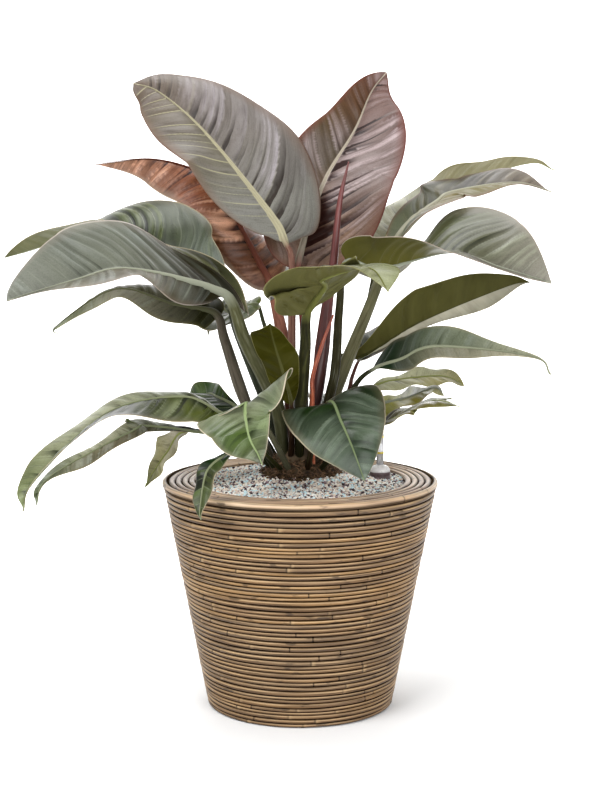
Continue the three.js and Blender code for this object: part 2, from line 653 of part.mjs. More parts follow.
// Mineral granules up to the rim, with the root ball and the gauge pipe standing in them
function addFilling({ linerTop, linerInner, hoopInner }) {
  const bottom = LINER_WALL + GAP;
  const edge = hoopInner - GAP;
  const rings = 8;
  const profile = [
    [0, bottom], [linerInner(bottom) - GAP, bottom], [linerInner(linerTop) - GAP, linerTop - GAP],
    [edge, linerTop - GAP],
  ];
  const firstRing = profile.length;
  for (let i = 0; i < rings; i += 1) {
    const share = i / (rings - 1);
    const radius = THREE.MathUtils.lerp(edge, SOIL_RADIUS + GAP, share);
    profile.push([radius, GRANULE_EDGE + GRANULE_RISE * share ** 2]);
  }
  profile.push([ROOT_BALL_RADIUS + GAP, ROOT_BALL_BOTTOM - GAP], [0, ROOT_BALL_BOTTOM - GAP]);
  const bumps = (ring, segment) => (ring >= firstRing && ring < firstRing + rings
    ? GRANULE_BUMP * (scatter(ring, segment) - 0.5) : 0);
  const hole = new THREE.CylinderGeometry(GAUGE_RADIUS + GAP, GAUGE_RADIUS + GAP, PLANTER_HEIGHT, 12);
  hole.rotateX(Math.PI / 2).translate(GAUGE_X, GAUGE_Y, PIPE_BOTTOM - GAP + PLANTER_HEIGHT / 2);
  const granules = solidOf(turned(profile, ROUND_STEPS, bumps)).subtract(solidOf(hole));
  addMesh('mineral_granules', geometryOf(granules), material(COLOURS.granules, 0.9));
}

// Soil plug with the roots in it, and the short stem (crown) that all the stalks grow from
function addSoilAndCrown() {
  const neckRadius = STEM_RADIUS + 4;
  const neckTop = 282;
  const crown = turned([
    [0, STEM_BOTTOM], [STEM_RADIUS, STEM_BOTTOM + 2], [neckRadius, neckTop], [CROWN_RADIUS, SOIL_TOP + 3],
    [CROWN_RADIUS - 2, 299], [29, 311], [16, 321], [0, CROWN_TOP],
  ], 16);
  let crownSolid = solidOf(crown);
  for (const leaf of LEAVES) {
    crownSolid = crownSolid.subtract(solidOf(stalkRod(leaf, GAP)));
  }
  crownSolid = crownSolid.subtract(solidOf(stemRod(SPEAR, GAP)));
  crownSolid = crownSolid.subtract(solidOf(stemRod(SHEATH, GAP)));
  addMesh('crown', geometryOf(crownSolid), material(COLOURS.crown, 0.8));

  const edgeRing = 3;
  const soil = turned([
    [0, ROOT_BALL_BOTTOM], [ROOT_BALL_RADIUS, ROOT_BALL_BOTTOM], [SOIL_RADIUS, SOIL_TOP - 4],
    [SOIL_RADIUS - 3, SOIL_TOP - 1], [CROWN_RADIUS + GAP, SOIL_TOP], [CROWN_RADIUS + GAP, SOIL_TOP + 2],
    [neckRadius + GAP, neckTop - 1], [STEM_RADIUS + GAP, STEM_BOTTOM + 1.5], [0, STEM_BOTTOM - GAP],
  ], 16, (ring, segment) => (ring === edgeRing ? SOIL_BUMP * (scatter(ring, segment) - 0.5) : 0));
  addMesh('root_ball', soil, material(COLOURS.soil, 0.95));
}

// Water gauge: pipe down into the granules, clear dome and sight tube, and the float with its mark
function addGauge() {
  const seat = GAUGE_DOME_TOP + GAP;
  const floatTop = PIPE_BOTTOM + FLOAT_LENGTH;
  const tubeInner = SIGHT_RADIUS - TUBE_WALL;
  const parts = {
    gauge_pipe: [turned([
      [PIPE_BORE, PIPE_BOTTOM], [GAUGE_RADIUS, PIPE_BOTTOM], [GAUGE_RADIUS, GAUGE_COLLAR_TOP],
      [ROD_BORE, GAUGE_COLLAR_TOP], [ROD_BORE, GAUGE_COLLAR_TOP - PIPE_LID],
      [PIPE_BORE, GAUGE_COLLAR_TOP - PIPE_LID - 4], [PIPE_BORE, PIPE_BOTTOM],
    ], 12), material(COLOURS.gaugeDark, 0.35)],
    gauge_dome: [turned([
      [ROD_BORE, GAUGE_COLLAR_TOP + GAP], [GAUGE_RADIUS - 0.4, GAUGE_COLLAR_TOP + GAP],
      [GAUGE_RADIUS - 1.5, GAUGE_COLLAR_TOP + 3], [SIGHT_RADIUS + 0.4, GAUGE_DOME_TOP - 1],
      [SIGHT_RADIUS, GAUGE_DOME_TOP], [ROD_BORE, GAUGE_DOME_TOP], [ROD_BORE, GAUGE_COLLAR_TOP + GAP],
    ], 12), material(COLOURS.gaugeClear, 0.15)],
    gauge_sight_tube: [turned([
      [tubeInner, seat], [SIGHT_RADIUS, seat], [SIGHT_RADIUS, SIGHT_TOP], [tubeInner, SIGHT_TOP],
      [tubeInner, seat],
    ], 10), material(COLOURS.gaugeClear, 0.1)],
    gauge_tube_cap: [turned([
      [0, SIGHT_TOP + GAP], [SIGHT_RADIUS + 0.3, SIGHT_TOP + GAP],
      [SIGHT_RADIUS + 0.3, SIGHT_TOP + CAP_HEIGHT - 1],
      [tubeInner, SIGHT_TOP + CAP_HEIGHT], [0, SIGHT_TOP + CAP_HEIGHT],
    ], 10), material(COLOURS.gaugeClear, 0.2)],
    gauge_float: [turned([
      [0, PIPE_BOTTOM], [FLOAT_RADIUS, PIPE_BOTTOM], [FLOAT_RADIUS, floatTop], [ROD_RADIUS, floatTop + 3],
      [ROD_RADIUS, seat], [MARK_RADIUS, seat], [MARK_RADIUS, seat + MARK_HEIGHT], [0, seat + MARK_HEIGHT],
    ], 8), material(COLOURS.gaugeMark, 0.4)],
  };
  for (const [name, [geometry, meshMaterial]] of Object.entries(parts)) {
    addMesh(name, geometry.translate(GAUGE_X, GAUGE_Y, 0), meshMaterial);
  }
}

function addPlant() {
  for (const leaf of LEAVES) {
    addMesh(leaf.name, geometryOf(leafSolid(leaf)), material(COLOURS[leaf.colour], 0.4));
  }
  addMesh('spear_leaf', stemRod(SPEAR), material(COLOURS.red, 0.4));
  addMesh('dry_sheath', stemRod(SHEATH), material(COLOURS.orange, 0.5));
}

const planter = addPlanter();
addFilling(planter);
addSoilAndCrown();
addGauge();
addPlant();

export default root;
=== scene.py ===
"""A potted imperial red philodendron in a round rattan planter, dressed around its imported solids.

The scene is in metres with +Z up, and the origin is the centre of the planter's foot. The tables are
in millimetres. The viewer of the reference picture stands on the -Y side.
"""
from functools import partial

import bpy
import numpy as np
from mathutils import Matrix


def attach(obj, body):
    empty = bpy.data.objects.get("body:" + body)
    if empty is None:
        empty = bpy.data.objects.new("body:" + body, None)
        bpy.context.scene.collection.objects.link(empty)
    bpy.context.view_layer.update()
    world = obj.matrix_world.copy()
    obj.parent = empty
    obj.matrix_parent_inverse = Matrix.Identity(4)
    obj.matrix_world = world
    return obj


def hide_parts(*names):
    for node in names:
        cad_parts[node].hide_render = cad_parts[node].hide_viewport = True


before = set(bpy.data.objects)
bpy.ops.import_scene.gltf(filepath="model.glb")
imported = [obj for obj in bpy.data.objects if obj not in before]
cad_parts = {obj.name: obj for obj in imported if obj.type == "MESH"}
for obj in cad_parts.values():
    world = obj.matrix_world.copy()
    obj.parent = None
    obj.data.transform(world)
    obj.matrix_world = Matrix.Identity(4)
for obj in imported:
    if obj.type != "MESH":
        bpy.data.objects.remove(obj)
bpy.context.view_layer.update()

# Studio: a seamless sheet of white paper that curves up behind the plant, under soft even light.
# The camera stands 2.1 m in front, a little below the top leaves, and looks slightly down. Places and
# sizes of camera and lights are in metres.
CAMERA_PLACE = (0, -2.134, 0.678)
CAMERA_DOWN = 7.97
CAMERA_LENS = 79.07
PAPER = "#ffffff"
PAPER_HALF_WIDTH = 9000
PAPER_FRONT = -9000
PAPER_BEND = 2500
PAPER_BEND_RADIUS = 1500
PAPER_BEND_POINTS = 13
PAPER_TOP = 5000
SOFTBOXES = {
    "key_light": dict(place=(-1.6, -1.9, 2.7), aim=(0, 0, 0.35), size=1.9, power=80),
    "fill_light": dict(place=(1.5, -2.9, 1.1), aim=(0, 0, 0.25), size=2.2, power=60),
    "top_light": dict(place=(-0.1, 0.6, 2.6), aim=(0, 0, 0.35), size=1.4, power=38),
    "backdrop_light": dict(place=(0, 1.5, 2.2), aim=(0, 4.0, 0.7), size=3.0, power=170),
}
SKY = "#ffffff"
SKY_STRENGTH = 0.5


def linear(code):
    """sRGB hex colour as linear red, green, blue and full alpha."""
    part = np.array([int(code[i:i + 2], 16) for i in (1, 3, 5)]) / 255
    part = np.where(part <= 0.04045, part / 12.92, ((part + 0.055) / 1.055) ** 2.4)
    return (*part.tolist(), 1.0)


def node(tree, kind, inputs=(), output=0, **settings):
    """Adds a shader node, sets its settings, fills or links its inputs, listed in order or by number or
    name, and returns one of its outputs. An input given as a hex code is a colour."""
    made = tree.nodes.new("ShaderNode" + kind)
    for key, value in settings.items():
        setattr(made, key, value)
    for key, value in (inputs if isinstance(inputs, dict) else dict(enumerate(inputs))).items():
        if isinstance(value, bpy.types.NodeSocket):
            tree.links.new(value, made.inputs[key])
        else:
            made.inputs[key].default_value = linear(value) if isinstance(value, str) else value
    return made.outputs[output]


def new_finish(name, constants):
    """A material whose shader has its constants set. Returns it, the function that adds a node to it,
    and the function that links outputs to the shader's sockets."""
    finish = bpy.data.materials.new(name)
    finish.use_nodes = True
    tree = finish.node_tree
    shader = tree.nodes["Principled BSDF"]
    for key, value in constants.items():
        shader.inputs[key].default_value = linear(value) if isinstance(value, str) else value

    def wire(**outputs):
        for key, output in outputs.items():
            tree.links.new(output, shader.inputs[key.replace("_", " ")])

    return finish, partial(node, tree), wire


def grid(rows, columns, closed=False):
    """Quads of a grid of points, row by row; closed joins the last column to the first."""
    i = np.arange(rows - 1)[:, None] * columns
    j = np.arange(columns if closed else columns - 1)
    k = (j + 1) % columns
    return np.stack([i + j, i + k, i + columns + k, i + columns + j], -1).reshape(-1, 4)


def add_mesh(name, points, faces, finish, smooth=True, **fields):
    """A mesh object of points in millimetres, with one value or vector of each field per point."""
    mesh = bpy.data.meshes.new(name)
    mesh.from_pydata((np.asarray(points, float).reshape(-1, 3) * 0.001).tolist(), [], faces)
    for key, values in fields.items():
        values = np.asarray(values, np.float32)
        vector = values.shape[-1] == 3 and values.ndim > 1
        layer = mesh.attributes.new(key, "FLOAT_VECTOR" if vector else "FLOAT", "POINT")
        layer.data.foreach_set("vector" if vector else "value", values.ravel())
    mesh.shade_smooth() if smooth else mesh.shade_flat()
    mesh.materials.append(finish)
    made = bpy.data.objects.new(name, mesh)
    bpy.context.scene.collection.objects.link(made)
    return made


camera = bpy.data.objects.new("camera", bpy.data.cameras.new("camera"))
camera.data.lens = CAMERA_LENS
camera.location = CAMERA_PLACE
camera.rotation_euler = (np.radians(90 - CAMERA_DOWN), 0, 0)
bpy.context.scene.collection.objects.link(camera)
bpy.context.scene.camera = camera
bpy.context.scene.view_settings.view_transform = "Standard"

# Matt white paper: it scatters all light and has no gloss.
paper_finish, _, _ = new_finish(
    "white_paper", {"Base Color": PAPER, "Roughness": 1.0, "Specular IOR Level": 0.0})
bend = np.radians(np.linspace(0, 90, PAPER_BEND_POINTS))
profile = np.array(
    [[PAPER_FRONT, 0]]
    + np.stack([PAPER_BEND + PAPER_BEND_RADIUS * np.sin(bend),
                PAPER_BEND_RADIUS * (1 - np.cos(bend))], 1).tolist()
    + [[PAPER_BEND + PAPER_BEND_RADIUS, PAPER_TOP]])
sides = np.array([-PAPER_HALF_WIDTH, PAPER_HALF_WIDTH])
paper_points = np.stack([
    np.broadcast_to(sides, (len(profile), 2)),
    np.broadcast_to(profile[:, :1], (len(profile), 2)),
    np.broadcast_to(profile[:, 1:], (len(profile), 2))], -1)
add_mesh("paper_floor", paper_points, grid(len(profile), 2).tolist(), paper_finish)

for name, box in SOFTBOXES.items():
    lamp = bpy.data.lights.new(name, "AREA")
    lamp.size = box["size"]
    lamp.energy = box["power"]
    made = bpy.data.objects.new(name, lamp)
    made.location = box["place"]
    aim = np.array(box["aim"]) - np.array(box["place"])
    made.rotation_euler = (
        np.arccos(-aim[2] / np.linalg.norm(aim)), 0, np.arctan2(-aim[0], aim[1]))
    bpy.context.scene.collection.objects.link(made)

world = bpy.data.worlds.new("soft_sky")
world.use_nodes = True
world.node_tree.nodes["Background"].inputs["Color"].default_value = linear(SKY)
world.node_tree.nodes["Background"].inputs["Strength"].default_value = SKY_STRENGTH
bpy.context.scene.world = world

# Liner: the black plastic pot inside the planter. It is moulded in polypropylene with a fine matt
# grain, stands on the floor with its flat foot, and shows only as black between the canes.
LINER_BLACK = "#14110e"
GRAIN_PER_METRE = 900


def cover(name, finish):
    """Puts a finish on a solid that is carried over as it is."""
    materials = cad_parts[name].data.materials
    materials.clear()
    materials.append(finish)


liner_finish, add, wire = new_finish(
    "moulded_polypropylene", {"Base Color": LINER_BLACK, "Roughness": 0.6, "IOR": 1.49})
spot = add("TexCoord", output="Object")
grain = add("TexNoise", {"Vector": spot, "Scale": GRAIN_PER_METRE, "Detail": 2.0})
wire(Normal=add("Bump", {"Height": grain, "Strength": 0.1, "Distance": 0.0003}))
cover("planter_liner", liner_finish)

# Rattan wrap: round peeled rattan canes, 4 to 7 mm thick, bent round the frame in 49 rows and
# nailed on. Each row is a few canes end to end; a cane has a low ring where each leaf once grew.
PLANTER_HEIGHT = 282
RIM_RADIUS = 170
FOOT_RADIUS = 115
WRAP_ROWS = 49
WRAP_BOTTOM = 1
RIM_SEAT = 274.1
ROW_THICKNESS = (3.9, 7.0)
TOP_ROWS_THICKNESS = (6.0, 6.6, 7.4)
ROW_FILL = 0.97
MARKS_PER_ROW = 5
MARK_OFFSETS = np.array([-2.6, -1.3, -0.6, 0, 0.6, 1.3, 2.6])
RING_WIDTH = 2.2
RING_SWELL = 0.35
STAIN_WIDTH = 1.1
PALE_WIDTH = 1.8
PALE_OFFSET = 2.4
PINCH_WIDTH = 0.7
PINCH_SHARE = 0.35
THICKNESS_WAVE = 0.05
OUT_WAVE = 0.35
UP_WAVE = 0.5
EVEN_STATIONS = 168
ROW_SHIFT = 40.0
GREY_BAND = 30
TONE_SPREAD = 0.8
CANE_SECTION = np.radians([-150, -90, -60, -30, 0, 30, 60, 90, 150])
CANE_GOLD = "#8a683f"
CANE_TAN = "#6e5236"
CANE_GREY = "#66503a"
CANE_DARK = "#140a05"
CANE_PALE = "#c8a87c"
SEED = 11


def add_piece(name, points, faces, finish, slot, replaced=(), **options):
    """A mesh that belongs to the object, rides on its body and stands for the named solids."""
    made = add_mesh(name, points, faces, finish, **options)
    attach(made, "root")
    if replaced:
        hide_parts(*replaced)
    return made


def outward(points, faces):
    """The quads of a closed shell, turned round if its volume comes out negative."""
    corner = np.asarray(points, float).reshape(-1, 3)[faces]
    first = np.einsum("ij,ij->i", corner[:, 0], np.cross(corner[:, 1], corner[:, 2]))
    second = np.einsum("ij,ij->i", corner[:, 0], np.cross(corner[:, 2], corner[:, 3]))
    return faces if (first + second).sum() > 0 else faces[:, ::-1]


def round_waves(random, rows, angle, highest):
    """Smooth random waves round a ring: a sum of sines of whole frequencies, weaker as they rise."""
    total = np.zeros(angle.shape)
    for frequency in range(2, highest):
        phase = random.uniform(0, 2 * np.pi, (rows, 1))
        total += np.sin(frequency * angle + phase) * random.normal(0, 1, (rows, 1)) / frequency ** 0.5
    return total / np.sqrt(highest)


def cane_rings(random, radius, height, thickness, joints, facing=0):
    """Rings of cane. A ring's centre line goes round the axis at its radius and height with slow random
    waves; a round section of half its thickness is carried along it, swollen at each leaf ring and
    pinched where two canes meet, both as a bell curve of the distance. Facing is the angle of the
    section that is seen, up from outwards; the finish lays its painted highlight and painted shade out
    from it. Returns points, quads, and each point's colour fields."""
    rows = len(radius)
    radius, height, thickness = (np.asarray(x, float)[:, None] for x in (radius, height, thickness))
    slot = (np.arange(MARKS_PER_ROW) + random.uniform(-0.4, 0.4, (rows, MARKS_PER_ROW))) / MARKS_PER_ROW
    mark = 2 * np.pi * slot
    is_joint = random.permuted(np.arange(MARKS_PER_ROW) < joints, axis=1)
    strength = random.uniform(0.25, 1, (rows, MARKS_PER_ROW))
    even = np.broadcast_to(2 * np.pi * np.arange(EVEN_STATIONS) / EVEN_STATIONS, (rows, EVEN_STATIONS))
    near = (mark[..., None] + MARK_OFFSETS / radius[..., None]).reshape(rows, -1)
    angle = np.sort(np.concatenate([even, near], 1) % (2 * np.pi), 1)
    gap = (angle[..., None] - mark[:, None] + np.pi) % (2 * np.pi) - np.pi
    gap = gap * radius[..., None]
    ring = np.where(is_joint, 0, strength)[:, None]
    joint = np.where(is_joint, 1.0, 0)[:, None]
    swell = (ring * np.exp(-(gap / RING_WIDTH) ** 2)).max(-1)
    pinch = (joint * np.exp(-(gap / PINCH_WIDTH) ** 2)).max(-1)
    dark = np.maximum(pinch, (ring * np.exp(-(gap / STAIN_WIDTH) ** 2)).max(-1))
    pale = (ring * np.exp(-((gap - PALE_OFFSET) / PALE_WIDTH) ** 2)).max(-1)
    strand = (is_joint[:, None] & (mark[:, None] <= angle[..., None])).sum(-1) % np.maximum(joints, 1)
    tone = random.uniform(0, 1, (rows, MARKS_PER_ROW + 1)) * TONE_SPREAD
    tone = np.take_along_axis(tone + (1 - TONE_SPREAD) * np.cos(height / GREY_BAND), strand, 1)
    half = thickness / 2 * (1 + THICKNESS_WAVE * round_waves(random, rows, angle, 9))
    half = half * (1 - PINCH_SHARE * pinch) + RING_SWELL * swell
    out = radius + OUT_WAVE * round_waves(random, rows, angle, 12)
    up = height + UP_WAVE * round_waves(random, rows, angle, 7)
    across = out[..., None] + half[..., None] * np.cos(CANE_SECTION)
    points = np.stack([
        across * np.cos(angle)[..., None], across * np.sin(angle)[..., None],
        up[..., None] + half[..., None] * np.sin(CANE_SECTION)], -1)
    stations, corners = angle.shape[1], len(CANE_SECTION)
    one = grid(stations + 1, corners, closed=True) % (stations * corners)
    faces = (one + (np.arange(rows) * stations * corners)[:, None, None]).reshape(-1, 4)
    faces = outward(points, faces)
    run = (angle * radius)[..., None] * np.ones(corners)
    row = np.arange(rows)[:, None, None] * ROW_SHIFT + random.uniform(0, 1, (rows, 1, 1))
    where = np.stack([run, half[..., None] * CANE_SECTION + 0 * run, row + 0 * run], -1)
    around = (CANE_SECTION - np.radians(facing)) / (np.pi / 2)
    fields = {"tone": tone[..., None], "around": around, "dark": dark[..., None], "pale": pale[..., None]}
    fields = {key: (value + 0 * run).ravel() for key, value in fields.items()}
    return points.reshape(-1, 3), faces, where.reshape(-1, 3), fields


def cane_finish(name, gold, tan, grey, polish, gap):
    """Peeled rattan with its waxy skin: satin, with fine fibres along the cane, a painted highlight as a
    pale line along the upper side, stained joints and long smudges, and painted shade in the gap to the
    next cane."""
    finish, add, wire = new_finish(name, {"Roughness": polish, "IOR": 1.5})
    run = add("Attribute", attribute_name="run", output="Vector")
    tone, dark, pale, around = (add("Attribute", attribute_name=field, output="Fac")
                                for field in ("tone", "dark", "pale", "around"))
    # Fibres are about 0.5 mm wide and 60 mm long; they are drawn 1.5 mm wide so that they show. Blotches
    # are some 80 mm long and smudges 30 mm, both a cane wide.
    stretched = [add("Mapping", {"Vector": run, "Scale": scale})
                 for scale in ((0.016, 0.7, 1.0), (0.012, 0.05, 1.0), (0.033, 0.12, 1.3))]
    fibre, blotch, smudge = (
        add("TexNoise", {"Vector": vector, "Scale": 1.0, "Detail": 3.0}) for vector in stretched)
    mixed = add("Math", (add("Math", (tone, blotch), operation="ADD"), 0.5), operation="MULTIPLY")
    colour = add("ValToRGB", (mixed,))
    stops = colour.node.color_ramp.elements
    stops[0].position, stops[0].color = 0.3, linear(grey)
    stops[1].position, stops[1].color = 0.7, linear(gold)
    stops.new(0.5).color = linear(tan)
    # Painted highlight: a pale line just above the seen side of the section, broken by the fibres.
    painted_highlight = add("MapRange", (around, -0.1, 0.2))
    for share in (add("MapRange", (around, 0.55, 0.3)), add("MapRange", (fibre, 0.35, 0.65, 0.1, 0.75))):
        painted_highlight = add("Math", (painted_highlight, share), operation="MULTIPLY")
    # Painted shade: darker and less glossy as the section turns from the seen side into the gap.
    shaded_side = add("Math", (around,), operation="ABSOLUTE")
    for amount, code in (
            (add("MapRange", (fibre, 0.6, 0.78, 0.0, 0.35)), CANE_PALE),
            (add("MapRange", (fibre, 0.3, 0.55, 0.55, 0.0)), CANE_DARK),
            (painted_highlight, CANE_PALE),
            (add("Math", (pale, 0.5), operation="MULTIPLY"), CANE_PALE),
            (add("MapRange", (smudge, 0.62, 0.68, 0.0, 0.6)), CANE_DARK),
            (add("Math", (dark, 0.85), operation="MULTIPLY"), CANE_DARK),
            (add("MapRange", (shaded_side, 0.3, 0.74, 0.0, gap)), CANE_DARK)):
        colour = add("Mix", {0: amount, 6: colour, 7: code}, 2, data_type="RGBA")
    wire(Base_Color=colour, Specular_IOR_Level=add("MapRange", (shaded_side, 0.3, 0.7, 0.35, 0.0)),
         Normal=add("Bump", {"Height": fibre, "Strength": 0.3, "Distance": 0.0005}))
    return finish


def planter_radius(z):
    """Outer radius of the straight-sided planter at a height."""
    return FOOT_RADIUS + (RIM_RADIUS - FOOT_RADIUS) * z / PLANTER_HEIGHT


random = np.random.default_rng(SEED)
thick = random.uniform(*ROW_THICKNESS, WRAP_ROWS)
thick[-len(TOP_ROWS_THICKNESS):] = TOP_ROWS_THICKNESS
thick *= (RIM_SEAT - WRAP_BOTTOM) / thick.sum()
middle = WRAP_BOTTOM + np.cumsum(thick) - thick / 2
wrap_finish = cane_finish("peeled_rattan", CANE_GOLD, CANE_TAN, CANE_GREY, 0.5, 0.97)
points, faces, run, fields = cane_rings(
    random, planter_radius(middle) - thick / 2, middle, thick * ROW_FILL,
    random.integers(1, 4, (WRAP_ROWS, 1)))
add_piece("rattan_rows", points, faces.tolist(), wrap_finish, "cane", ["rattan_wrap"], run=run, **fields)

# Rim: five thicker canes bent to rings and laid flat side by side on a hoop, each inside the last.
# They are peeled rattan too, handled smooth and paler, with a painted highlight on top. The hoop under
# them is plain wood.
RIM_CANES = 5
RIM_CANE_PITCH = 8.2
RIM_CANE_THICK = 8.1
# Where the painted highlight and shade are laid out from: the top, and halfway out on the outer ring.
RIM_FACING = 90
EDGE_FACING = 45
RIM_GOLD = "#dcc4a6"
RIM_TAN = "#c9ab8b"
RIM_GREY = "#af9278"
HOOP_BROWN = "#8d6f4d"
WOOD_GRAIN = {"Scale": 120.0, "Detail": 4.0}


def mottled_finish(name, low, high, noise, span, bump, **constants):
    """A dull natural surface: noise blends the two colours where its value lies within the span, and the
    same noise lifts the surface by the bump's share and height in metres."""
    finish, add, wire = new_finish(name, constants)
    mottle = add("TexNoise", {"Vector": add("TexCoord", output="Object"), **noise})
    share = add("MapRange", (mottle, *span))
    wire(Base_Color=add("Mix", {0: share, 6: low, 7: high}, 2, data_type="RGBA"),
         Normal=add("Bump", {"Height": mottle, "Strength": bump[0], "Distance": bump[1]}))
    return finish


rim_finish = cane_finish("handled_rattan", RIM_GOLD, RIM_TAN, RIM_GREY, 0.42, 0.85)
for k in range(RIM_CANES):
    reach = RIM_RADIUS - RIM_CANE_THICK / 2 - k * RIM_CANE_PITCH
    points, faces, run, fields = cane_rings(
        random, [reach], [PLANTER_HEIGHT - RIM_CANE_THICK / 2], [RIM_CANE_THICK],
        random.integers(1, 3, (1, 1)), facing=RIM_FACING if k else EDGE_FACING)
    add_piece(f"rim_cane_ring_{k + 1}", points, faces.tolist(), rim_finish, "rim_cane",
              [f"rim_cane_{k + 1}"], run=run, **fields)

# Sawn wood: matt, in two browns. It shows only as shade under the canes.
cover("rim_hoop", mottled_finish(
    "rough_wood", HOOP_BROWN, CANE_DARK, WOOD_GRAIN, (0.0, 1.0), (0.0, 0.001), Roughness=0.8))

# Granules: loose mineral grains, 2 to 5 mm, poured up to the rim over the roots. They are pumice,
# expanded clay and zeolite: matt broken stone, cream, grey-blue and brown, with dark gaps between.
GRANULE_EDGE = 278
GRANULE_RISE = 11
GRANULE_OUTER = 128.3
GRANULE_INNER = 47.5
GRAIN_COUNT = 5600
GRAIN_CORNERS = 12
GRAIN_HALF = (1.3, 2.4)
GRAIN_SQUEEZE = (0.7, 1.15)
GRAIN_DENT = (0.8, 1.12)
GRAIN_SCATTER = 0.9
GRAIN_LIFT = (-0.5, 0.6)
GAUGE_PLACE = (99.5, 18)
GAUGE_RADIUS = 13
GRAIN_COLOURS = ((0.0, "#42323a"), (0.17, "#937a80"), (0.24, "#dccabf"), (0.36, "#dcf6fd"),
                 (0.54, "#fffdf8"), (0.8, "#faecdc"))
BED_TAN = "#eaded2"
BED_DARK = "#6a5a54"
ICO_CORNER = (1 + 5 ** 0.5) / 2


def grain_finish():
    """Broken porous stone: no gloss, and a rough pitted skin; the grain number picks its colour."""
    finish, add, wire = new_finish("mineral_grains", {"Roughness": 0.9})
    colour = add("ValToRGB", (add("Attribute", attribute_name="kind", output="Fac"),))
    ramp = colour.node.color_ramp
    ramp.interpolation = "CONSTANT"
    ramp.elements.remove(ramp.elements[1])
    ramp.elements[0].color = linear(GRAIN_COLOURS[0][1])
    for position, code in GRAIN_COLOURS[1:]:
        ramp.elements.new(position).color = linear(code)
    pits = add("TexNoise", {"Vector": add("TexCoord", output="Object"), "Scale": 900.0, "Detail": 3.0})
    shade = add("MapRange", (pits, 0.35, 0.7, 0.12, 0.0))
    wire(Base_Color=add("Mix", {0: shade, 6: colour, 7: BED_DARK}, 2, data_type="RGBA"),
         Normal=add("Bump", {"Height": pits, "Strength": 0.5, "Distance": 0.0004}))
    return finish


def grains(random, centres, half):
    """Irregular stones: at each centre an icosahedron, each of its corners pushed in or out by chance,
    squeezed along three axes and turned at random."""
    g = ICO_CORNER
    corner = np.array([[-1, g, 0], [1, g, 0], [-1, -g, 0], [1, -g, 0], [0, -1, g], [0, 1, g],
                       [0, -1, -g], [0, 1, -g], [g, 0, -1], [g, 0, 1], [-g, 0, -1], [-g, 0, 1]])
    corner /= np.linalg.norm(corner[0])
    face = np.array([[0, 11, 5], [0, 5, 1], [0, 1, 7], [0, 7, 10], [0, 10, 11], [1, 5, 9], [5, 11, 4],
                     [11, 10, 2], [10, 7, 6], [7, 1, 8], [3, 9, 4], [3, 4, 2], [3, 2, 6], [3, 6, 8],
                     [3, 8, 9], [4, 9, 5], [2, 4, 11], [6, 2, 10], [8, 6, 7], [9, 8, 1]])
    count = len(centres)
    turn, _ = np.linalg.qr(random.normal(0, 1, (count, 3, 3)))
    turn *= np.sign(np.linalg.det(turn))[:, None, None]
    squeeze = random.uniform(*GRAIN_SQUEEZE, (count, 1, 3))
    push = random.uniform(*GRAIN_DENT, (count, GRAIN_CORNERS, 1))
    stone = corner * push * squeeze * np.asarray(half)[:, None, None]
    points = centres[:, None] + np.einsum("nij,nkj->nki", turn, stone)
    faces = face + (np.arange(count) * GRAIN_CORNERS)[:, None, None]
    return points.reshape(-1, 3), faces.reshape(-1, 3)


def granule_height(reach):
    """Height of the granules at a distance from the middle: a shallow dish that rises inwards."""
    share = np.clip((GRANULE_OUTER + 0.4 - reach) / (GRANULE_OUTER - GRANULE_INNER), 0, 1)
    return GRANULE_EDGE + GRANULE_RISE * share ** 2


order = np.arange(GRAIN_COUNT) + 0.5
reach = np.sqrt(GRANULE_INNER ** 2 + (GRANULE_OUTER ** 2 - GRANULE_INNER ** 2) * order / GRAIN_COUNT)
reach = reach + random.normal(0, GRAIN_SCATTER, GRAIN_COUNT)
reach = np.clip(reach, GRANULE_INNER + 1, GRANULE_OUTER - 1.5)
golden_angle = np.pi * (3 - 5 ** 0.5)
turn = order * golden_angle + random.normal(0, GRAIN_SCATTER, GRAIN_COUNT) / reach
size = random.uniform(*GRAIN_HALF, GRAIN_COUNT)
lift = random.uniform(*GRAIN_LIFT, GRAIN_COUNT)
centres = np.stack([reach * np.cos(turn), reach * np.sin(turn), granule_height(reach) + lift], 1)
clear = np.hypot(centres[:, 0] - GAUGE_PLACE[0], centres[:, 1] - GAUGE_PLACE[1]) > GAUGE_RADIUS + size
points, faces = grains(random, centres[clear], size[clear])
kind = np.repeat(random.uniform(0, 1, clear.sum()), GRAIN_CORNERS)
add_piece("loose_granules", points, faces.tolist(), grain_finish(), "granules", smooth=False, kind=kind)

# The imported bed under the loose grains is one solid: the same stones, seen only as dark gaps.
bed_finish, add, wire = new_finish("packed_stones", {"Roughness": 0.95})
cells = add("TexVoronoi", {"Vector": add("TexCoord", output="Object"), "Scale": 300.0})
wire(Base_Color=add("Mix", {0: cells, 6: BED_TAN, 7: BED_DARK}, 2, data_type="RGBA"),
     Normal=add("Bump", {"Height": cells, "Strength": 0.8, "Distance": 0.001}))
cover("mineral_granules", bed_finish)

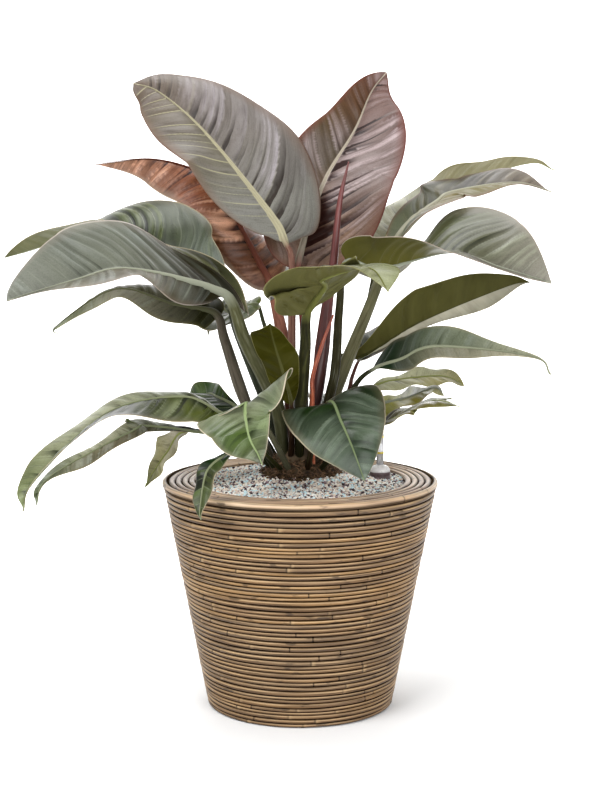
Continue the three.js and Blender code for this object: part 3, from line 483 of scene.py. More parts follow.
# Root ball: dark peat mix full of fine roots, as it came out of the nursery pot. It stands a little
# proud of the granules round the crown, the short woody stem that every stalk grows from.
SOIL_RADIUS = 47
SOIL_TOP = 290
ROOT_BALL_RADIUS = 41
ROOT_BALL_BOTTOM = 120
CROWN_RADIUS = 40
CROWN_TOP = 325
CROWN_FOOT = (CROWN_RADIUS, SOIL_TOP + 3)
CROWN_WAIST = (38, 299)
CROWN_SHOULDER = (29, 311)
STEM_RADIUS = 26
STEM_BOTTOM = 250
SOIL_BROWN = "#2e2217"
SOIL_LIGHT = "#6a5238"
ROOT_RUST = "#86664a"
CROWN_OLIVE = "#5d4a2c"
CRUMB_COUNT = 2200
CRUMB_HALF = (0.6, 2.1)
CRUMB_INNER = 30
CRUMB_SPILL = 3
PROFILE_STEP = 3
FIBRE_COUNT = 260
FIBRE_RADIUS = 0.65
FIBRE_STEPS = 9
FIBRE_CORNERS = 6
FIBRE_START = (31, 46)
FIBRE_RUN = (-4, 12)
FIBRE_BOW = (-0.5, 0.5)
FIBRE_RISE = (0, 5)
SOIL_GRAIN = {"Scale": 260.0, "Detail": 5.0, "Roughness": 0.7}
ROOT_GRAIN = {"Scale": 160.0, "Detail": 3.0}
BARK_GRAIN = {"Scale": 120.0, "Detail": 5.0}


def shell(points):
    """Quads of a closed skin: rings of points joined round and to the next, both end rings filled by
    strips from one side of the ring to the other."""
    rows, corners = points.shape[:2]
    j = np.arange(corners // 2 - 1)
    end = np.stack([j, j + 1, corners - 2 - j, corners - 1 - j], -1)
    faces = np.concatenate([grid(rows, corners, closed=True), end[:, ::-1], end + (rows - 1) * corners])
    return outward(points, faces)


def lathe(profile, corners, bumps=0.0, random=None):
    """A solid turned round the upright axis: each (radius, height) of the profile becomes a ring; bumps
    moves the points of a ring in and out by chance."""
    profile = np.asarray(profile, float)
    angle = 2 * np.pi * np.arange(corners) / corners
    out = np.maximum(profile[:, :1], 0.05) * np.ones(corners)
    up = profile[:, 1:] * np.ones(corners)
    if bumps:
        out = out + random.normal(0, bumps, out.shape) * (profile[:, :1] > 1)
        up = up + random.normal(0, bumps, out.shape) * (profile[:, :1] > 1)
    points = np.stack([out * np.cos(angle), out * np.sin(angle), up], -1)
    return points, shell(points)


def fine_profile(corners, step):
    """The profile's straight runs cut into pieces of about the step."""
    corners = np.asarray(corners, float)
    counts = np.maximum(1, (np.linalg.norm(np.diff(corners, axis=0), axis=1) / step).astype(int))
    parts = [np.linspace(a, b, n, endpoint=False) for a, b, n in zip(corners[:-1], corners[1:], counts)]
    return np.vstack(parts + [corners[-1:]])


def soil_height(reach):
    """Height of the soil at a distance from the middle: straight lines up the foot of the crown."""
    knots = np.array([CROWN_SHOULDER, CROWN_WAIST, CROWN_FOOT, (SOIL_RADIUS, SOIL_TOP)])
    return np.interp(reach, knots[:, 0], knots[:, 1])


# Damp peat: matt crumbs in two browns, rough enough to catch small lights.
soil_finish = mottled_finish("peat_mix", SOIL_BROWN, SOIL_LIGHT, SOIL_GRAIN, (0.42, 0.66), (0.9, 0.002),
                             **{"Roughness": 0.95, "Specular IOR Level": 0.2})
profile = fine_profile(
    [[0, ROOT_BALL_BOTTOM], [ROOT_BALL_RADIUS, ROOT_BALL_BOTTOM], [SOIL_RADIUS - 1, SOIL_TOP - 4],
     [SOIL_RADIUS - 4, SOIL_TOP - 0.5], [CROWN_RADIUS, SOIL_TOP + 0.5], [0, SOIL_TOP + 1]], PROFILE_STEP)
points, faces = lathe(profile, corners=96, bumps=0.7, random=random)
add_piece("peat_root_ball", points, faces.tolist(), soil_finish, "soil", ["root_ball"])

# Crumbs lie over the root ball up to a wavy border that reaches a little onto the granules.
turn = random.uniform(0, 2 * np.pi, CRUMB_COUNT)
border = GRANULE_INNER + CRUMB_SPILL * (1 + np.sin(3 * turn + 1)) + 2 * np.sin(7 * turn)
reach = CRUMB_INNER + (border - CRUMB_INNER) * random.uniform(0, 1, CRUMB_COUNT) ** 0.7
on_soil = soil_height(reach) + random.uniform(-0.5, 1.2, CRUMB_COUNT)
up = np.where(reach > GRANULE_INNER, granule_height(reach) + 0.8, on_soil)
centres = np.stack([reach * np.cos(turn), reach * np.sin(turn), up], 1)
points, faces = grains(random, centres, random.uniform(*CRUMB_HALF, CRUMB_COUNT))
add_piece("peat_crumbs", points, faces.tolist(), soil_finish, "soil", smooth=False)


def sweep(path, radii, side, corners):
    """A rod: at each point of the path a ring of the radius there, square to the path; side gives the
    direction in which the first corner of each ring lies. Returns the rings of points."""
    path = np.asarray(path, float)
    along = np.gradient(path, axis=0)
    along /= np.linalg.norm(along, axis=1, keepdims=True)
    side = side - (side * along).sum(1, keepdims=True) * along
    side /= np.linalg.norm(side, axis=1, keepdims=True)
    over = np.cross(along, side)
    angle = 2 * np.pi * np.arange(corners) / corners
    ring = side[:, None] * np.cos(angle)[:, None] + over[:, None] * np.sin(angle)[:, None]
    return path[:, None] + np.asarray(radii)[:, None, None] * ring


# Thin rust-brown roots: dull bark with darker flecks. Each runs outwards with a bow and a small wave.
root_finish = mottled_finish(
    "root_bark", SOIL_BROWN, ROOT_RUST, ROOT_GRAIN, (0.35, 0.6), (0.0, 0.001), Roughness=0.85)
step = np.linspace(0, 1, FIBRE_STEPS)
start = random.uniform(0, 2 * np.pi, FIBRE_COUNT)[:, None]
bow = random.uniform(*FIBRE_BOW, (FIBRE_COUNT, 1))
reach = random.uniform(*FIBRE_START, (FIBRE_COUNT, 1))
reach = reach + random.uniform(*FIBRE_RUN, (FIBRE_COUNT, 1)) * step
turn = start + bow * step + 0.05 * np.sin(9 * step + start)
lying = np.where(reach > GRANULE_INNER, granule_height(reach) + 1.6, soil_height(reach) + 1.2)
up = lying + random.uniform(*FIBRE_RISE, (FIBRE_COUNT, 1)) * np.sin(np.pi * step)
paths = np.stack([reach * np.cos(turn), reach * np.sin(turn), up], -1)
radii = FIBRE_RADIUS * (1 - 0.7 * step)
upwards = np.array([[0, 0, 1.0]]) + 0 * paths[0]
rings = np.stack([sweep(path, radii, upwards, FIBRE_CORNERS) for path in paths])
faces = np.concatenate([shell(ring) + i * FIBRE_STEPS * FIBRE_CORNERS for i, ring in enumerate(rings)])
add_piece("fine_roots", rings, faces.tolist(), root_finish, "soil")

# Olive-brown bark with deep dull wrinkles.
crown_finish = mottled_finish(
    "woody_stem", SOIL_BROWN, CROWN_OLIVE, BARK_GRAIN, (0.0, 1.0), (0.8, 0.002), Roughness=0.8)
profile = fine_profile(
    [[0, STEM_BOTTOM], [STEM_RADIUS, STEM_BOTTOM + 2], [30, 282], CROWN_FOOT, CROWN_WAIST, CROWN_SHOULDER,
     [16, 321], [0, CROWN_TOP]], PROFILE_STEP)
points, faces = lathe(profile, corners=64, bumps=0.5, random=random)
add_piece("woody_crown", points, faces.tolist(), crown_finish, "crown", ["crown"])

# Water gauge: a dark plastic pipe stands in the granules with a clear dome on its collar. A red mark
# on the float's rod rises in the clear sight tube, past two plain yellow lines on the tube.
GAUGE_COLLAR_TOP = 287
GAUGE_DOME_TOP = 296
SIGHT_RADIUS = 4.6
SIGHT_TOP = 343
TUBE_WALL = 1
CAP_HEIGHT = 4
PIPE_BOTTOM = 70
PIPE_BORE = 7.5
PIPE_LID = 7
ROD_RADIUS = 1.2
ROD_BORE = 1.8
FLOAT_RADIUS = 6.6
FLOAT_LENGTH = 32
MARK_RADIUS = 2.8
MARK_HEIGHT = 4
LINE_HEIGHTS = (311, 331)
LINE_HALF = 1.2
GAP = 0.3
GAUGE_CORNERS = 48


def gauge_piece(name, profile, finish, slot, replaced=(), bored=True):
    """A turned plastic part on the gauge's own axis. The profile of a bored one is a closed loop, so its
    rings close up; the profile of a solid one starts and ends on the axis."""
    points, faces = lathe(profile, GAUGE_CORNERS)
    if bored:
        faces = grid(len(profile) + 1, GAUGE_CORNERS, closed=True) % (len(profile) * GAUGE_CORNERS)
        faces = outward(points, faces)
    add_piece(name, points + np.array([*GAUGE_PLACE, 0]), faces.tolist(), finish, slot, replaced)


def plastic(name, code, roughness, scuff, **more):
    """Injection-moulded plastic: glossy, with faint handling scratches that vary the gloss."""
    finish, add, wire = new_finish(name, {"IOR": 1.5, **more})
    marks = add("TexNoise", {"Vector": add("TexCoord", output="Object"), "Scale": 250.0, "Detail": 3.0})
    shade = add("MapRange", (marks, 0.4, 0.8, 0.0, 0.3))
    wire(Base_Color=add("Mix", {0: shade, 6: code, 7: scuff}, 2, data_type="RGBA"),
         Roughness=add("MapRange", (marks, 0, 1, roughness, roughness + 0.15)))
    return finish


dark_plastic = plastic("moulded_abs_dark", "#4d3c40", 0.4, "#8c8078")
clear_plastic = plastic("frosted_polystyrene", "#f4f2f2", 0.22, "#c8c4c6", **{"Transmission Weight": 0.2})
tube_plastic = plastic("clear_acrylic", "#f6f6f8", 0.1, "#dcdce0", **{"Transmission Weight": 0.65})
yellow_plastic = plastic("yellow_ink", "#d8c23a", 0.4, "#b0a050")
red_plastic = plastic("moulded_abs_red", "#c8412c", 0.35, "#a05040")
tube_inner = SIGHT_RADIUS - TUBE_WALL
seat = GAUGE_DOME_TOP + GAP
groove = GAUGE_RADIUS - 0.6
gauge_piece("gauge_pipe_dark", [
    [PIPE_BORE, PIPE_BOTTOM], [GAUGE_RADIUS, PIPE_BOTTOM], [GAUGE_RADIUS, GAUGE_COLLAR_TOP - 5],
    [groove, GAUGE_COLLAR_TOP - 4.6], [groove, GAUGE_COLLAR_TOP - 4],
    [GAUGE_RADIUS, GAUGE_COLLAR_TOP - 3.6],
    [GAUGE_RADIUS, GAUGE_COLLAR_TOP - 0.6], [groove, GAUGE_COLLAR_TOP], [ROD_BORE, GAUGE_COLLAR_TOP],
    [ROD_BORE, GAUGE_COLLAR_TOP - PIPE_LID], [PIPE_BORE, GAUGE_COLLAR_TOP - PIPE_LID - 4]],
    dark_plastic, "gauge_dark", ["gauge_pipe"])
curve = np.linspace(0, np.pi / 2, 9)
dome = np.stack([
    SIGHT_RADIUS + 0.4 + (GAUGE_RADIUS - 0.8 - SIGHT_RADIUS) * np.cos(curve),
    GAUGE_COLLAR_TOP + GAP + (GAUGE_DOME_TOP - GAUGE_COLLAR_TOP - 1 - GAP) * np.sin(curve)], 1)
gauge_piece("gauge_dome_clear", [
    [ROD_BORE, GAUGE_COLLAR_TOP + GAP], *dome.tolist(), [SIGHT_RADIUS, GAUGE_DOME_TOP],
    [ROD_BORE, GAUGE_DOME_TOP]], clear_plastic, "gauge_clear", ["gauge_dome"])
gauge_piece("gauge_tube_clear", [
    [tube_inner, seat], [SIGHT_RADIUS, seat], [SIGHT_RADIUS, SIGHT_TOP], [tube_inner, SIGHT_TOP]],
    tube_plastic, "gauge_clear", ["gauge_sight_tube"])
cap_top = SIGHT_TOP + CAP_HEIGHT
gauge_piece("gauge_cap_clear", [
    [0, SIGHT_TOP + GAP], [SIGHT_RADIUS + 0.3, SIGHT_TOP + GAP], [SIGHT_RADIUS + 0.3, cap_top - 1.4],
    [SIGHT_RADIUS - 0.3, cap_top - 0.4], [tube_inner - 0.6, cap_top], [0, cap_top]],
    clear_plastic, "gauge_clear", ["gauge_tube_cap"], bored=False)
float_top = PIPE_BOTTOM + FLOAT_LENGTH
gauge_piece("gauge_float_red", [
    [0, PIPE_BOTTOM], [FLOAT_RADIUS, PIPE_BOTTOM], [FLOAT_RADIUS, float_top], [ROD_RADIUS, float_top + 3],
    [ROD_RADIUS, seat], [MARK_RADIUS, seat], [MARK_RADIUS, seat + MARK_HEIGHT], [0, seat + MARK_HEIGHT]],
    red_plastic, "gauge_mark", ["gauge_float"], bored=False)
line_in, line_out = SIGHT_RADIUS - 0.2, SIGHT_RADIUS + 0.12
for k, z in enumerate(LINE_HEIGHTS):
    low, high = z - LINE_HALF, z + LINE_HALF
    gauge_piece(f"gauge_line_{k + 1}", [[line_in, low], [line_out, low], [line_out, high], [line_in, high]],
                yellow_plastic, "gauge_mark")

# Leaves: 27 thick, leathery, undivided blades, each grown in one piece with its round stalk, which
# roots in the crown. New blades open copper and mauve-red, and age through bronze to dark green.
# A blade is stiff along its pale midrib, and its halves arch or fold and are puckered between veins.
INNER = (9, 314)
MIDDLE = (21, 307)
OUTER = (32, 295)
BLADE_THICKNESS = 1.2
EDGE_THICKNESS = 0.6
END_WIDTH = 2
TIP_WIDTH = 0.8
STALK_BULGE = 0.4
STALK_END = 0.62
LOBE_END = 0.3
EDGE_WAVE = 3
WAVES = 2.5
WAVE_SHIFT = 0.3
CURVE_STEPS = 24
VEIN_SPACING = 17
VEIN_CURVE = 0.005
PUCKER = 2.2
BULGE_SKEW = 0.65
BULGE_LEAST = 0.25
BESIDE_RIB = 6
LEVEL_BASE = 0.08
LEVEL_TIP = 0.25
LEAST_BEND = 0.5
ROW_EASE = 1.15
COLUMN_EASE = 0.9
VEIN_SLOTS = 64
VEINS_BEHIND = 12
MIDRIB_END = 0.97
MIDRIB_STEPS = 60
MIDRIB_START = 0.85
MIDRIB_TAPER = 1.5
MIDRIB_LEAST = 0.35
MIDRIB_SINK = 0.72
MIDRIB_DIP = 0.06
STALK_RUN = 200
STALK_CORNERS = 14
STALK_STRIPES = 8
LEAF_SHIFT = 7.3
WIDE_BLADE = 55
WIDE_GRID = (112, 24)
NARROW_GRID = (88, 18)

# Looks that the leaves of one colour family share: how far the side veins lean forwards, the gloss of
# the upper face, its wax coat, the colours of the painted sheen, of the dark (painted shade in folds,
# darker patches and streaks), veins, midrib and margin, then the strengths of the painted shade in
# the folds (groove), of the painted sheen and of vein lines on the left and right half, of streaks,
# patches and tinted edge, and half the width of the midrib's band in millimetres.
MAUVE = dict(slot="leaf_mauve", lean=0.4, shine=0.3, coat=0.08, sheen="#b9b2b6", dark="#6a5c54",
    vein="#aaa582", rib="#aca68c", margin="#6f5546", gloss=0.4, groove=(0.2, 1.1), silver=(0.08, 0.35),
    lines=(0.7, 0.12), streak=0.35, patch=0.45, edge=0.55, band=4.6)
BRONZE = dict(slot="leaf_bronze", lean=0.75, shine=0.3, coat=0.1, sheen="#c4b0b4", dark="#5c3a36",
    vein="#a08878", rib="#a49a8a", margin="#6a382e", gloss=0.38, groove=(0.7, 2), silver=(0.3, 0.6),
    lines=(0.1, 0.05), streak=0.4, patch=0.5, edge=0.6, band=4)
COPPER = dict(slot="leaf_copper", lean=0.4, shine=0.25, coat=0.08, sheen="#b87c6a", dark="#5a342a",
    vein="#a8705a", rib="#6a3628", margin="#d9c8b4", gloss=0.35, groove=(1.2, 1.2), silver=(0.6, 0.6),
    lines=(0.2, 0.2), streak=0.7, patch=0.9, edge=0.3, band=2.6)
GREEN = dict(slot="leaf_green", lean=0.4, shine=0.28, coat=0.12, sheen="#a3ab9c", dark="#6a6f60",
    vein="#9aa088", rib="#7c8264", margin="#b0a488", gloss=0.32, groove=(1.1, 1.1), silver=(0.3, 0.3),
    lines=(0.3, 0.3), streak=0.5, patch=0.75, edge=0.15, band=2.2)
OLIVE = dict(slot="leaf_olive", lean=0.4, shine=0.2, coat=0.12, sheen="#8f9164", dark="#6a6850",
    vein="#85875a", rib="#7f8450", margin="#847f52", gloss=0.3, groove=(0.8, 0.8), silver=(0.25, 0.25),
    lines=(0.2, 0.2), streak=0.45, patch=0.6, edge=0.15, band=2)
GREY_GREEN = dict(slot="leaf_grey_green", lean=0.4, shine=0.28, coat=0.1, sheen="#b0b8b0", dark="#6a7062",
    vein="#a6ae9a", rib="#8c9080", margin="#b0a294", gloss=0.34, groove=(0.8, 0.8), silver=(0.25, 0.25),
    lines=(0.2, 0.2), streak=0.3, patch=0.5, edge=0.2, band=2.6)


def half(width, lift, bend, widest, taper, base, lobe):
    """One half of a blade: its width, the angle that it is lifted at base, middle and tip, the further
    bend from midrib to edge, the place where it is widest, the powers that shape its taper to the tip
    and its rounding to the base, and how far its base is swept back."""
    return dict(width=width, lift=lift, bend=bend, widest=widest, taper=taper, base=base, lobe=lobe)


def coloured(family, left, right, near, tip, under, stalk, **own):
    """A leaf's look: that of its family, with the colours of its left and right half, of both halves
    near the base and at the tip, of the underside and of the stalk, and whatever else is its own."""
    return dict(family, left=left, right=right, near=near, tip=tip, under=under, stalk=stalk, **own)


LEAVES = {
    "leaf_top_left": dict(
        radii=[4.5, 5], foot=(INNER, 215), stalk=[[-10, 8, 450], [-10, 20, 545]],
        rib=[[-19, 22, 572], [-36, 34, 604], [-116, 60, 703], [-173, 80, 753], [-208, 90, 766]],
        face=[0.3, -0.9, 0.35], tip_face=[0.1, -0.8, 0.6],
        left=half(64, [2, 35, 0], -23, 0.54, 0.58, 1.71, 0),
        right=half(103, [12, 12, 10], -37, 0.36, 0.74, 2.07, 0.04),
        look=coloured(MAUVE, "#676253", "#6a645e", "#72716a", "#534435", "#7d7a60", "#7c594d", band=4.8,
            sheen="#b5aeb3", rib="#9e987e")),
    "leaf_top_right": dict(
        radii=[4.5, 5.5], foot=(INNER, 50), stalk=[[5, 30, 460], [0, 50, 512]],
        rib=[[0, 74, 553], [30, 101, 642], [69, 126, 707], [91, 148, 756], [111, 156, 782]],
        face=[-0.15, -0.95, 0.25], tip_face=[-0.15, -0.9, 0.3],
        left=half(61, [35, 28, 30], -12, 0.2, 0.67, 2.4, 0.35),
        right=half(90, [0, 27, 10], -19, 0.43, 0.89, 2.83, 0.2),
        look=coloured(BRONZE, "#4b3d26", "#736460", "#826856", "#502409", "#6e5f4c", "#7c3f3a",
            sheen="#c1b0b1", silver=(0.3, 0.5))),
    "leaf_copper": dict(
        radii=[6, 8], foot=(INNER, 140), stalk=[[-20, 28, 440], [-30, 58, 490]],
        rib=[[-40, 78, 524], [-72, 118, 582], [-111, 151, 644], [-187, 187, 671], [-271, 212, 665]],
        face=[0.3, 0.1, 0.9],
        left=half(54, [-61, -62, -62], -19, 0.48, 1.1, 2.4, 0.3),
        right=half(50, [50, -25, -45], -18, 0.21, 1.58, 2, 0.1),
        look=coloured(COPPER, "#804424", "#7a4430", "#4f2d18", "#886a55", "#af9370", "#865848",
            rib="#5a3024", sheen="#dea88a")),
    "leaf_left_high": dict(
        radii=[5.5, 8.5], foot=(MIDDLE, 165), stalk=[[-46, 5, 390], [-77, 25, 465]],
        rib=[[-92, 49, 511], [-143, 71, 541], [-178, 87, 567], [-240, 103, 585], [-377, 113, 548]],
        face=[0, 0, 1],
        left=half(70, [45, 8, 41], -1, 0.38, 0.79, 2.53, 0.67),
        right=half(72, [76, 34, -10], -10, 0.4, 1.59, 1.58, -0.17),
        look=coloured(GREEN, "#4f5538", "#272f08", "#636a5f", "#4c5033", "#686949", "#33362a",
            sheen="#7a8643", patch=0.9, silver=(0.3, 0.3))),
    "leaf_left_front": dict(
        radii=[6.5, 10], foot=(MIDDLE, 205), stalk=[[-30, -15, 380], [-66, -22, 454]],
        rib=[[-89, -20, 510], [-141, -50, 533], [-208, -95, 547], [-257, -130, 536], [-332, -150, 514]],
        face=[0, 0, 1],
        left=half(42, [-84, -7, 0], -8, 0.44, 1.24, 2.16, -0.06),
        right=half(78, [26, 47, 67], -2, 0.4, 0.62, 2.41, 0.43),
        look=coloured(GREY_GREEN, "#564d36", "#616457", "#221d09", "#6a6c62", "#3c3c22", "#535339",
            sheen="#bbc5bd", patch=0.7, silver=(0.12, 0.15), groove=(0.6, 0.7), streak=0.22, rib="#8a8d7c",
            margin="#a89c90")),
    "leaf_left_low": dict(
        radii=[4, 8], foot=(OUTER, 160), stalk=[[-68, 22, 375], [-93, 40, 447]],
        rib=[[-107, 48, 483], [-157, 55, 493], [-231, 60, 511], [-305, 58, 465], [-301, 52, 456]],
        face=[0, -0.2, 1],
        left=half(29, [-43, -13, -24], -11, 0.05, 0.91, 2.39, 0.23),
        right=half(36, [27, 9, 15], -17, 0.15, 2.65, 2.4, 0.25),
        look=coloured(OLIVE, "#8a8676", "#4d4a34", "#313015", "#7f8666", "#33331c", "#675f53",
            sheen="#878c7f", rib="#55563f", groove=(0.4, 0.4))),
    "leaf_rear_left_small": dict(
        radii=[3.5, 3.1], foot=(OUTER, 122), stalk=[[-31, 45, 412], [-46, 60, 470]],
        rib=[[-57, 70, 492], [-90, 110, 476], [-105, 145, 484], [-123, 175, 440]],
        face=[-0.2, -0.3, 1],
        left=half(49, [-11, 20, 20], -17, 0.3, 1.25, 3.17, 0.31),
        right=half(27, [18, 20, 21], -10, 0.42, 1.24, 2.36, 0.25),
        look=coloured(GREEN, "#5a5f48", "#5a5f48", "#4e5a1e", "#5f6448", "#4f5230", "#4a4c38")),
    "leaf_centre_front": dict(
        radii=[5, 8.5], foot=(MIDDLE, 268), stalk=[[0, -30, 365], [6, -40, 445]],
        rib=[[9, -48, 492], [29, -78, 525], [27, -108, 536], [78, -142, 550], [99, -172, 526]],
        face=[-0.2, 0.4, 0.9],
        left=half(51, [21, 32, 17], -18, 0.61, 0.95, 2.74, -0.13),
        right=half(69, [-4, 10, -8], -17, 0.36, 1.53, 3.49, 0.04),
        look=coloured(OLIVE, "#434620", "#413a26", "#2f2f16", "#949873", "#5d5b35", "#2f2f1b",
            sheen="#a8ab90", rib="#6a6c3a")),
    "leaf_right_front": dict(
        radii=[5, 6], foot=(MIDDLE, 306), stalk=[[40, -28, 404], [47, -26, 490]],
        rib=[[56, -22, 550], [97, -36, 544], [178, -50, 563], [239, -60, 545], [296, -68, 528]],
        face=[0, 0, 1],
        left=half(96, [-32, 34, 80], -13, 0.56, 0.94, 1.88, 0.25),
        right=half(65, [67, 7, -11], 0, 0.33, 1.2, 2.11, -0.01),
        look=coloured(GREY_GREEN, "#41432a", "#362407", "#2f2f14", "#817d73", "#545125", "#322f1c",
            sheen="#a4ab90")),
    "leaf_right_high": dict(
        radii=[6, 8.5], foot=(MIDDLE, 337), stalk=[[43, -10, 391], [79, 18, 477]],
        rib=[[124, 58, 578], [170, 68, 620], [195, 76, 633], [269, 84, 643], [316, 88, 632]],
        face=[0, 0, 1],
        left=half(63, [48, 11, 34], -4, 0.67, 1.53, 1.47, 0.46),
        right=half(55, [21, -10, -6], -6, 0.18, 1.72, 2.1, 0.18),
        look=coloured(MAUVE, "#251f0b", "#655e26", "#555a45", "#756a5e", "#8c8f68", "#626046",
            rib="#9a9886", sheen="#8a7c57", silver=(0.25, 0.25), lines=(0.06, 0.06), groove=(0.5, 0.5),
            streak=0.25)),
    "leaf_right_back": dict(
        radii=[5, 4.5], foot=(MIDDLE, 42), stalk=[[44, 40, 384], [81, 70, 472]],
        rib=[[109, 114, 571], [171, 168, 621], [237, 202, 648], [308, 228, 667], [340, 240, 658]],
        face=[0, 0, 1],
        left=half(48, [10, 10, 10], 0, 0.4, 1.25, 2.4, 0.25),
        right=half(46, [50, 45, 30], 0, 0.4, 1.25, 2.4, 0.25),
        look=coloured(OLIVE, "#6f6f4a", "#6f6f4a", "#a3a38e", "#6f7048", "#847f5e", "#3c3c28")),
    "leaf_right_olive": dict(
        radii=[5, 4.5], foot=(MIDDLE, 8), stalk=[[36, 18, 388]],
        rib=[[50, 30, 426], [79, 24, 432], [147, 5, 475], [247, -15, 519], [276, -28, 526]],
        face=[-0.3, 0.9, 0.3],
        left=half(18, [-53, -40, -40], -29, 0.77, 1.15, 1.05, 0.06),
        right=half(41, [-5, 8, -2], 10, 0.49, 0.76, 1.05, 0.29),
        look=coloured(OLIVE, "#33321a", "#33321a", "#2a2a14", "#3a3a1c", "#4a4824", "#2f2f1c",
            rib="#3c3c1c", under_left="#b3af9d")),
    "leaf_right_dark": dict(
        radii=[4, 3.6], foot=(OUTER, 330), stalk=[[62, -55, 397]],
        rib=[[88, -85, 429], [117, -110, 443], [157, -132, 460], [263, -155, 451], [282, -170, 432]],
        face=[-0.1, -0.4, 0.9],
        left=half(31, [13, 53, 60], 2, 0.12, 1.8, 2.41, 0.22),
        right=half(19, [-32, -19, -6], -16, 0.24, 1.8, 1.05, 0.21),
        look=coloured(GREEN, "#616754", "#787562", "#14260f", "#9a9880", "#3c4030", "#2a2c1c",
            sheen="#a1a8a9", shine=0.06, groove=(0.5, 0.5), silver=(0.06, 0.06), rib="#7c806a", streak=0.3,
            lines=(0.1, 0.1), coat=0.03)),
    "leaf_right_light": dict(
        radii=[3.5, 3.1], foot=(OUTER, 8), stalk=[[55, 8, 367]],
        rib=[[91, 12, 395], [125, 25, 402], [178, 38, 404], [206, 48, 391]],
        face=[0, -0.2, 1],
        left=half(19, [10, 15, 30], 3, 0.59, 0.4, 1.35, 0.26),
        right=half(23, [-11, -6, -12], -2, 0.5, 0.87, 2.52, 0.27),
        look=coloured(OLIVE, "#adad8e", "#a49e73", "#c3c3a1", "#7e763c", "#6f7044", "#3c3c28",
            sheen="#777958")),
    "leaf_right_pale": dict(
        radii=[3.5, 3.1], foot=(OUTER, 346), stalk=[[60, -20, 355]],
        rib=[[92, -38, 378], [128, -48, 389], [160, -56, 402], [172, -62, 394]],
        face=[0, -0.3, 1],
        left=half(13, [28, 23, 2], -1, 0.55, 1.39, 2.43, 0.25),
        right=half(30, [-13, 4, -6], 1, 0.32, 0.69, 2.63, 0.26),
        look=coloured(GREY_GREEN, "#f3f3f3", "#7a721e", "#aba856", "#8f8c70", "#6f7044", "#3c3c28",
            sheen="#e3e68e")),
    "leaf_right_lowest": dict(
        radii=[3.5, 3.1], foot=(OUTER, 315), stalk=[[60, -73, 343]],
        rib=[[95, -97, 364], [144, -120, 391], [158, -137, 398], [183, -147, 393]],
        face=[0, 0.2, 1],
        left=half(35, [33, 17, 3], -1, 0.44, 1.13, 2.53, 0.08),
        right=half(33, [-1, -10, -16], -19, 0.69, 1.88, 2.44, 0.08),
        look=coloured(OLIVE, "#5f6038", "#544709", "#312907", "#6a6a40", "#55572f", "#3c3c28",
            sheen="#8e842b")),
    "leaf_front_right": dict(
        radii=[4, 3.6], foot=(OUTER, 285), stalk=[[20, -70, 358]],
        rib=[[36, -98, 391], [48, -125, 371], [61, -142, 342], [74, -152, 307]],
        face=[0.1, -0.8, 0.6],
        left=half(60, [4, 13, 1], -15, 0.07, 0.83, 1.86, 0.28),
        right=half(64, [10, 8, 0], -13, 0.15, 1, 2.39, 0.31),
        look=coloured(GREEN, "#1c2f0e", "#434e3e", "#142707", "#485447", "#3f4a2c", "#3a2b1c",
            sheen="#899784", rib="#6f7c58", groove=(0.6, 0.6), lines=(0.12, 0.12), band=1.6)),
    "leaf_front_left": dict(
        radii=[4, 3.6], foot=(OUTER, 249), stalk=[[-41, -75, 358]],
        rib=[[-63, -105, 390], [-59, -135, 357], [-48, -155, 338], [-43, -165, 328]],
        face=[-0.1, -0.8, 0.5],
        left=half(74, [39, 49, 5], 1, 0.05, 1.41, 2.73, 0.12),
        right=half(59, [-7, 24, -3], -11, 0.14, 1.18, 1.05, -0.35),
        look=coloured(GREEN, "#6d7c52", "#425520", "#797f64", "#271c07", "#4a522c", "#706e59",
            margin="#cdbfa8", rib="#8fa070", sheen="#9ba888")),
    "leaf_left_long_upper": dict(
        radii=[4.5, 4], foot=(OUTER, 210), stalk=[[-63, -40, 347]],
        rib=[[-94, -62, 372], [-140, -80, 395], [-227, -105, 378], [-309, -130, 302], [-320, -145, 270]],
        face=[0, -0.2, 1],
        left=half(54, [-37, 15, 51], 0, 0.28, 1.71, 1.9, 0.14),
        right=half(30, [12, 3, 16], -9, 0.81, 1.47, 2.35, 0.26),
        look=coloured(GREEN, "#131607", "#8e8f75", "#485018", "#596533", "#55602f", "#3c4028",
            sheen="#a4ad87", rib="#7b8062")),
    "leaf_left_long_lower": dict(
        radii=[4, 3.6], foot=(OUTER, 193), stalk=[[-76, -8, 331]],
        rib=[[-116, -20, 342], [-186, -28, 352], [-202, -42, 348], [-300, -60, 295], [-316, -70, 262]],
        face=[0, -0.2, 1],
        left=half(17, [-21, -17, -2], -12, 0.59, 2.06, 1.05, 0.3),
        right=half(21, [9, 14, 0], -12, 0.45, 0.56, 1.89, 0.26),
        look=coloured(GREEN, "#776f57", "#929277", "#101908", "#5a6448", "#4a5230", "#3c4028",
            sheen="#c7cdc1", shine=0.1, coat=0.03)),
    "leaf_left_small": dict(
        radii=[3, 2.7], foot=(OUTER, 177), stalk=[[-84, 12, 328]],
        rib=[[-143, 22, 337], [-166, 26, 310], [-185, 28, 282], [-195, 28, 265]],
        face=[-0.5, -0.5, 0.5],
        left=half(17, [9, 12, -3], 0, 0.48, 0.86, 2.2, 0.25),
        right=half(28, [6, 5, 1], -1, 0.32, 1.32, 1.05, 0.22),
        look=coloured(OLIVE, "#a39c76", "#8f8a63", "#a09a87", "#6f7048", "#5f6038", "#3c3c20",
            sheen="#8d9062")),
    "leaf_over_rim": dict(
        radii=[3, 2.7], foot=(OUTER, 230), stalk=[[-53, -85, 335]],
        rib=[[-79, -122, 335], [-106, -148, 319], [-114, -168, 279], [-113, -180, 268]],
        face=[-0.5, -0.7, 0.5],
        left=half(16, [12, 4, 0], -1, 0.45, 1.3, 1.57, 0.23),
        right=half(13, [6, 6, 1], -2, 0.58, 1.13, 1.9, 0.25),
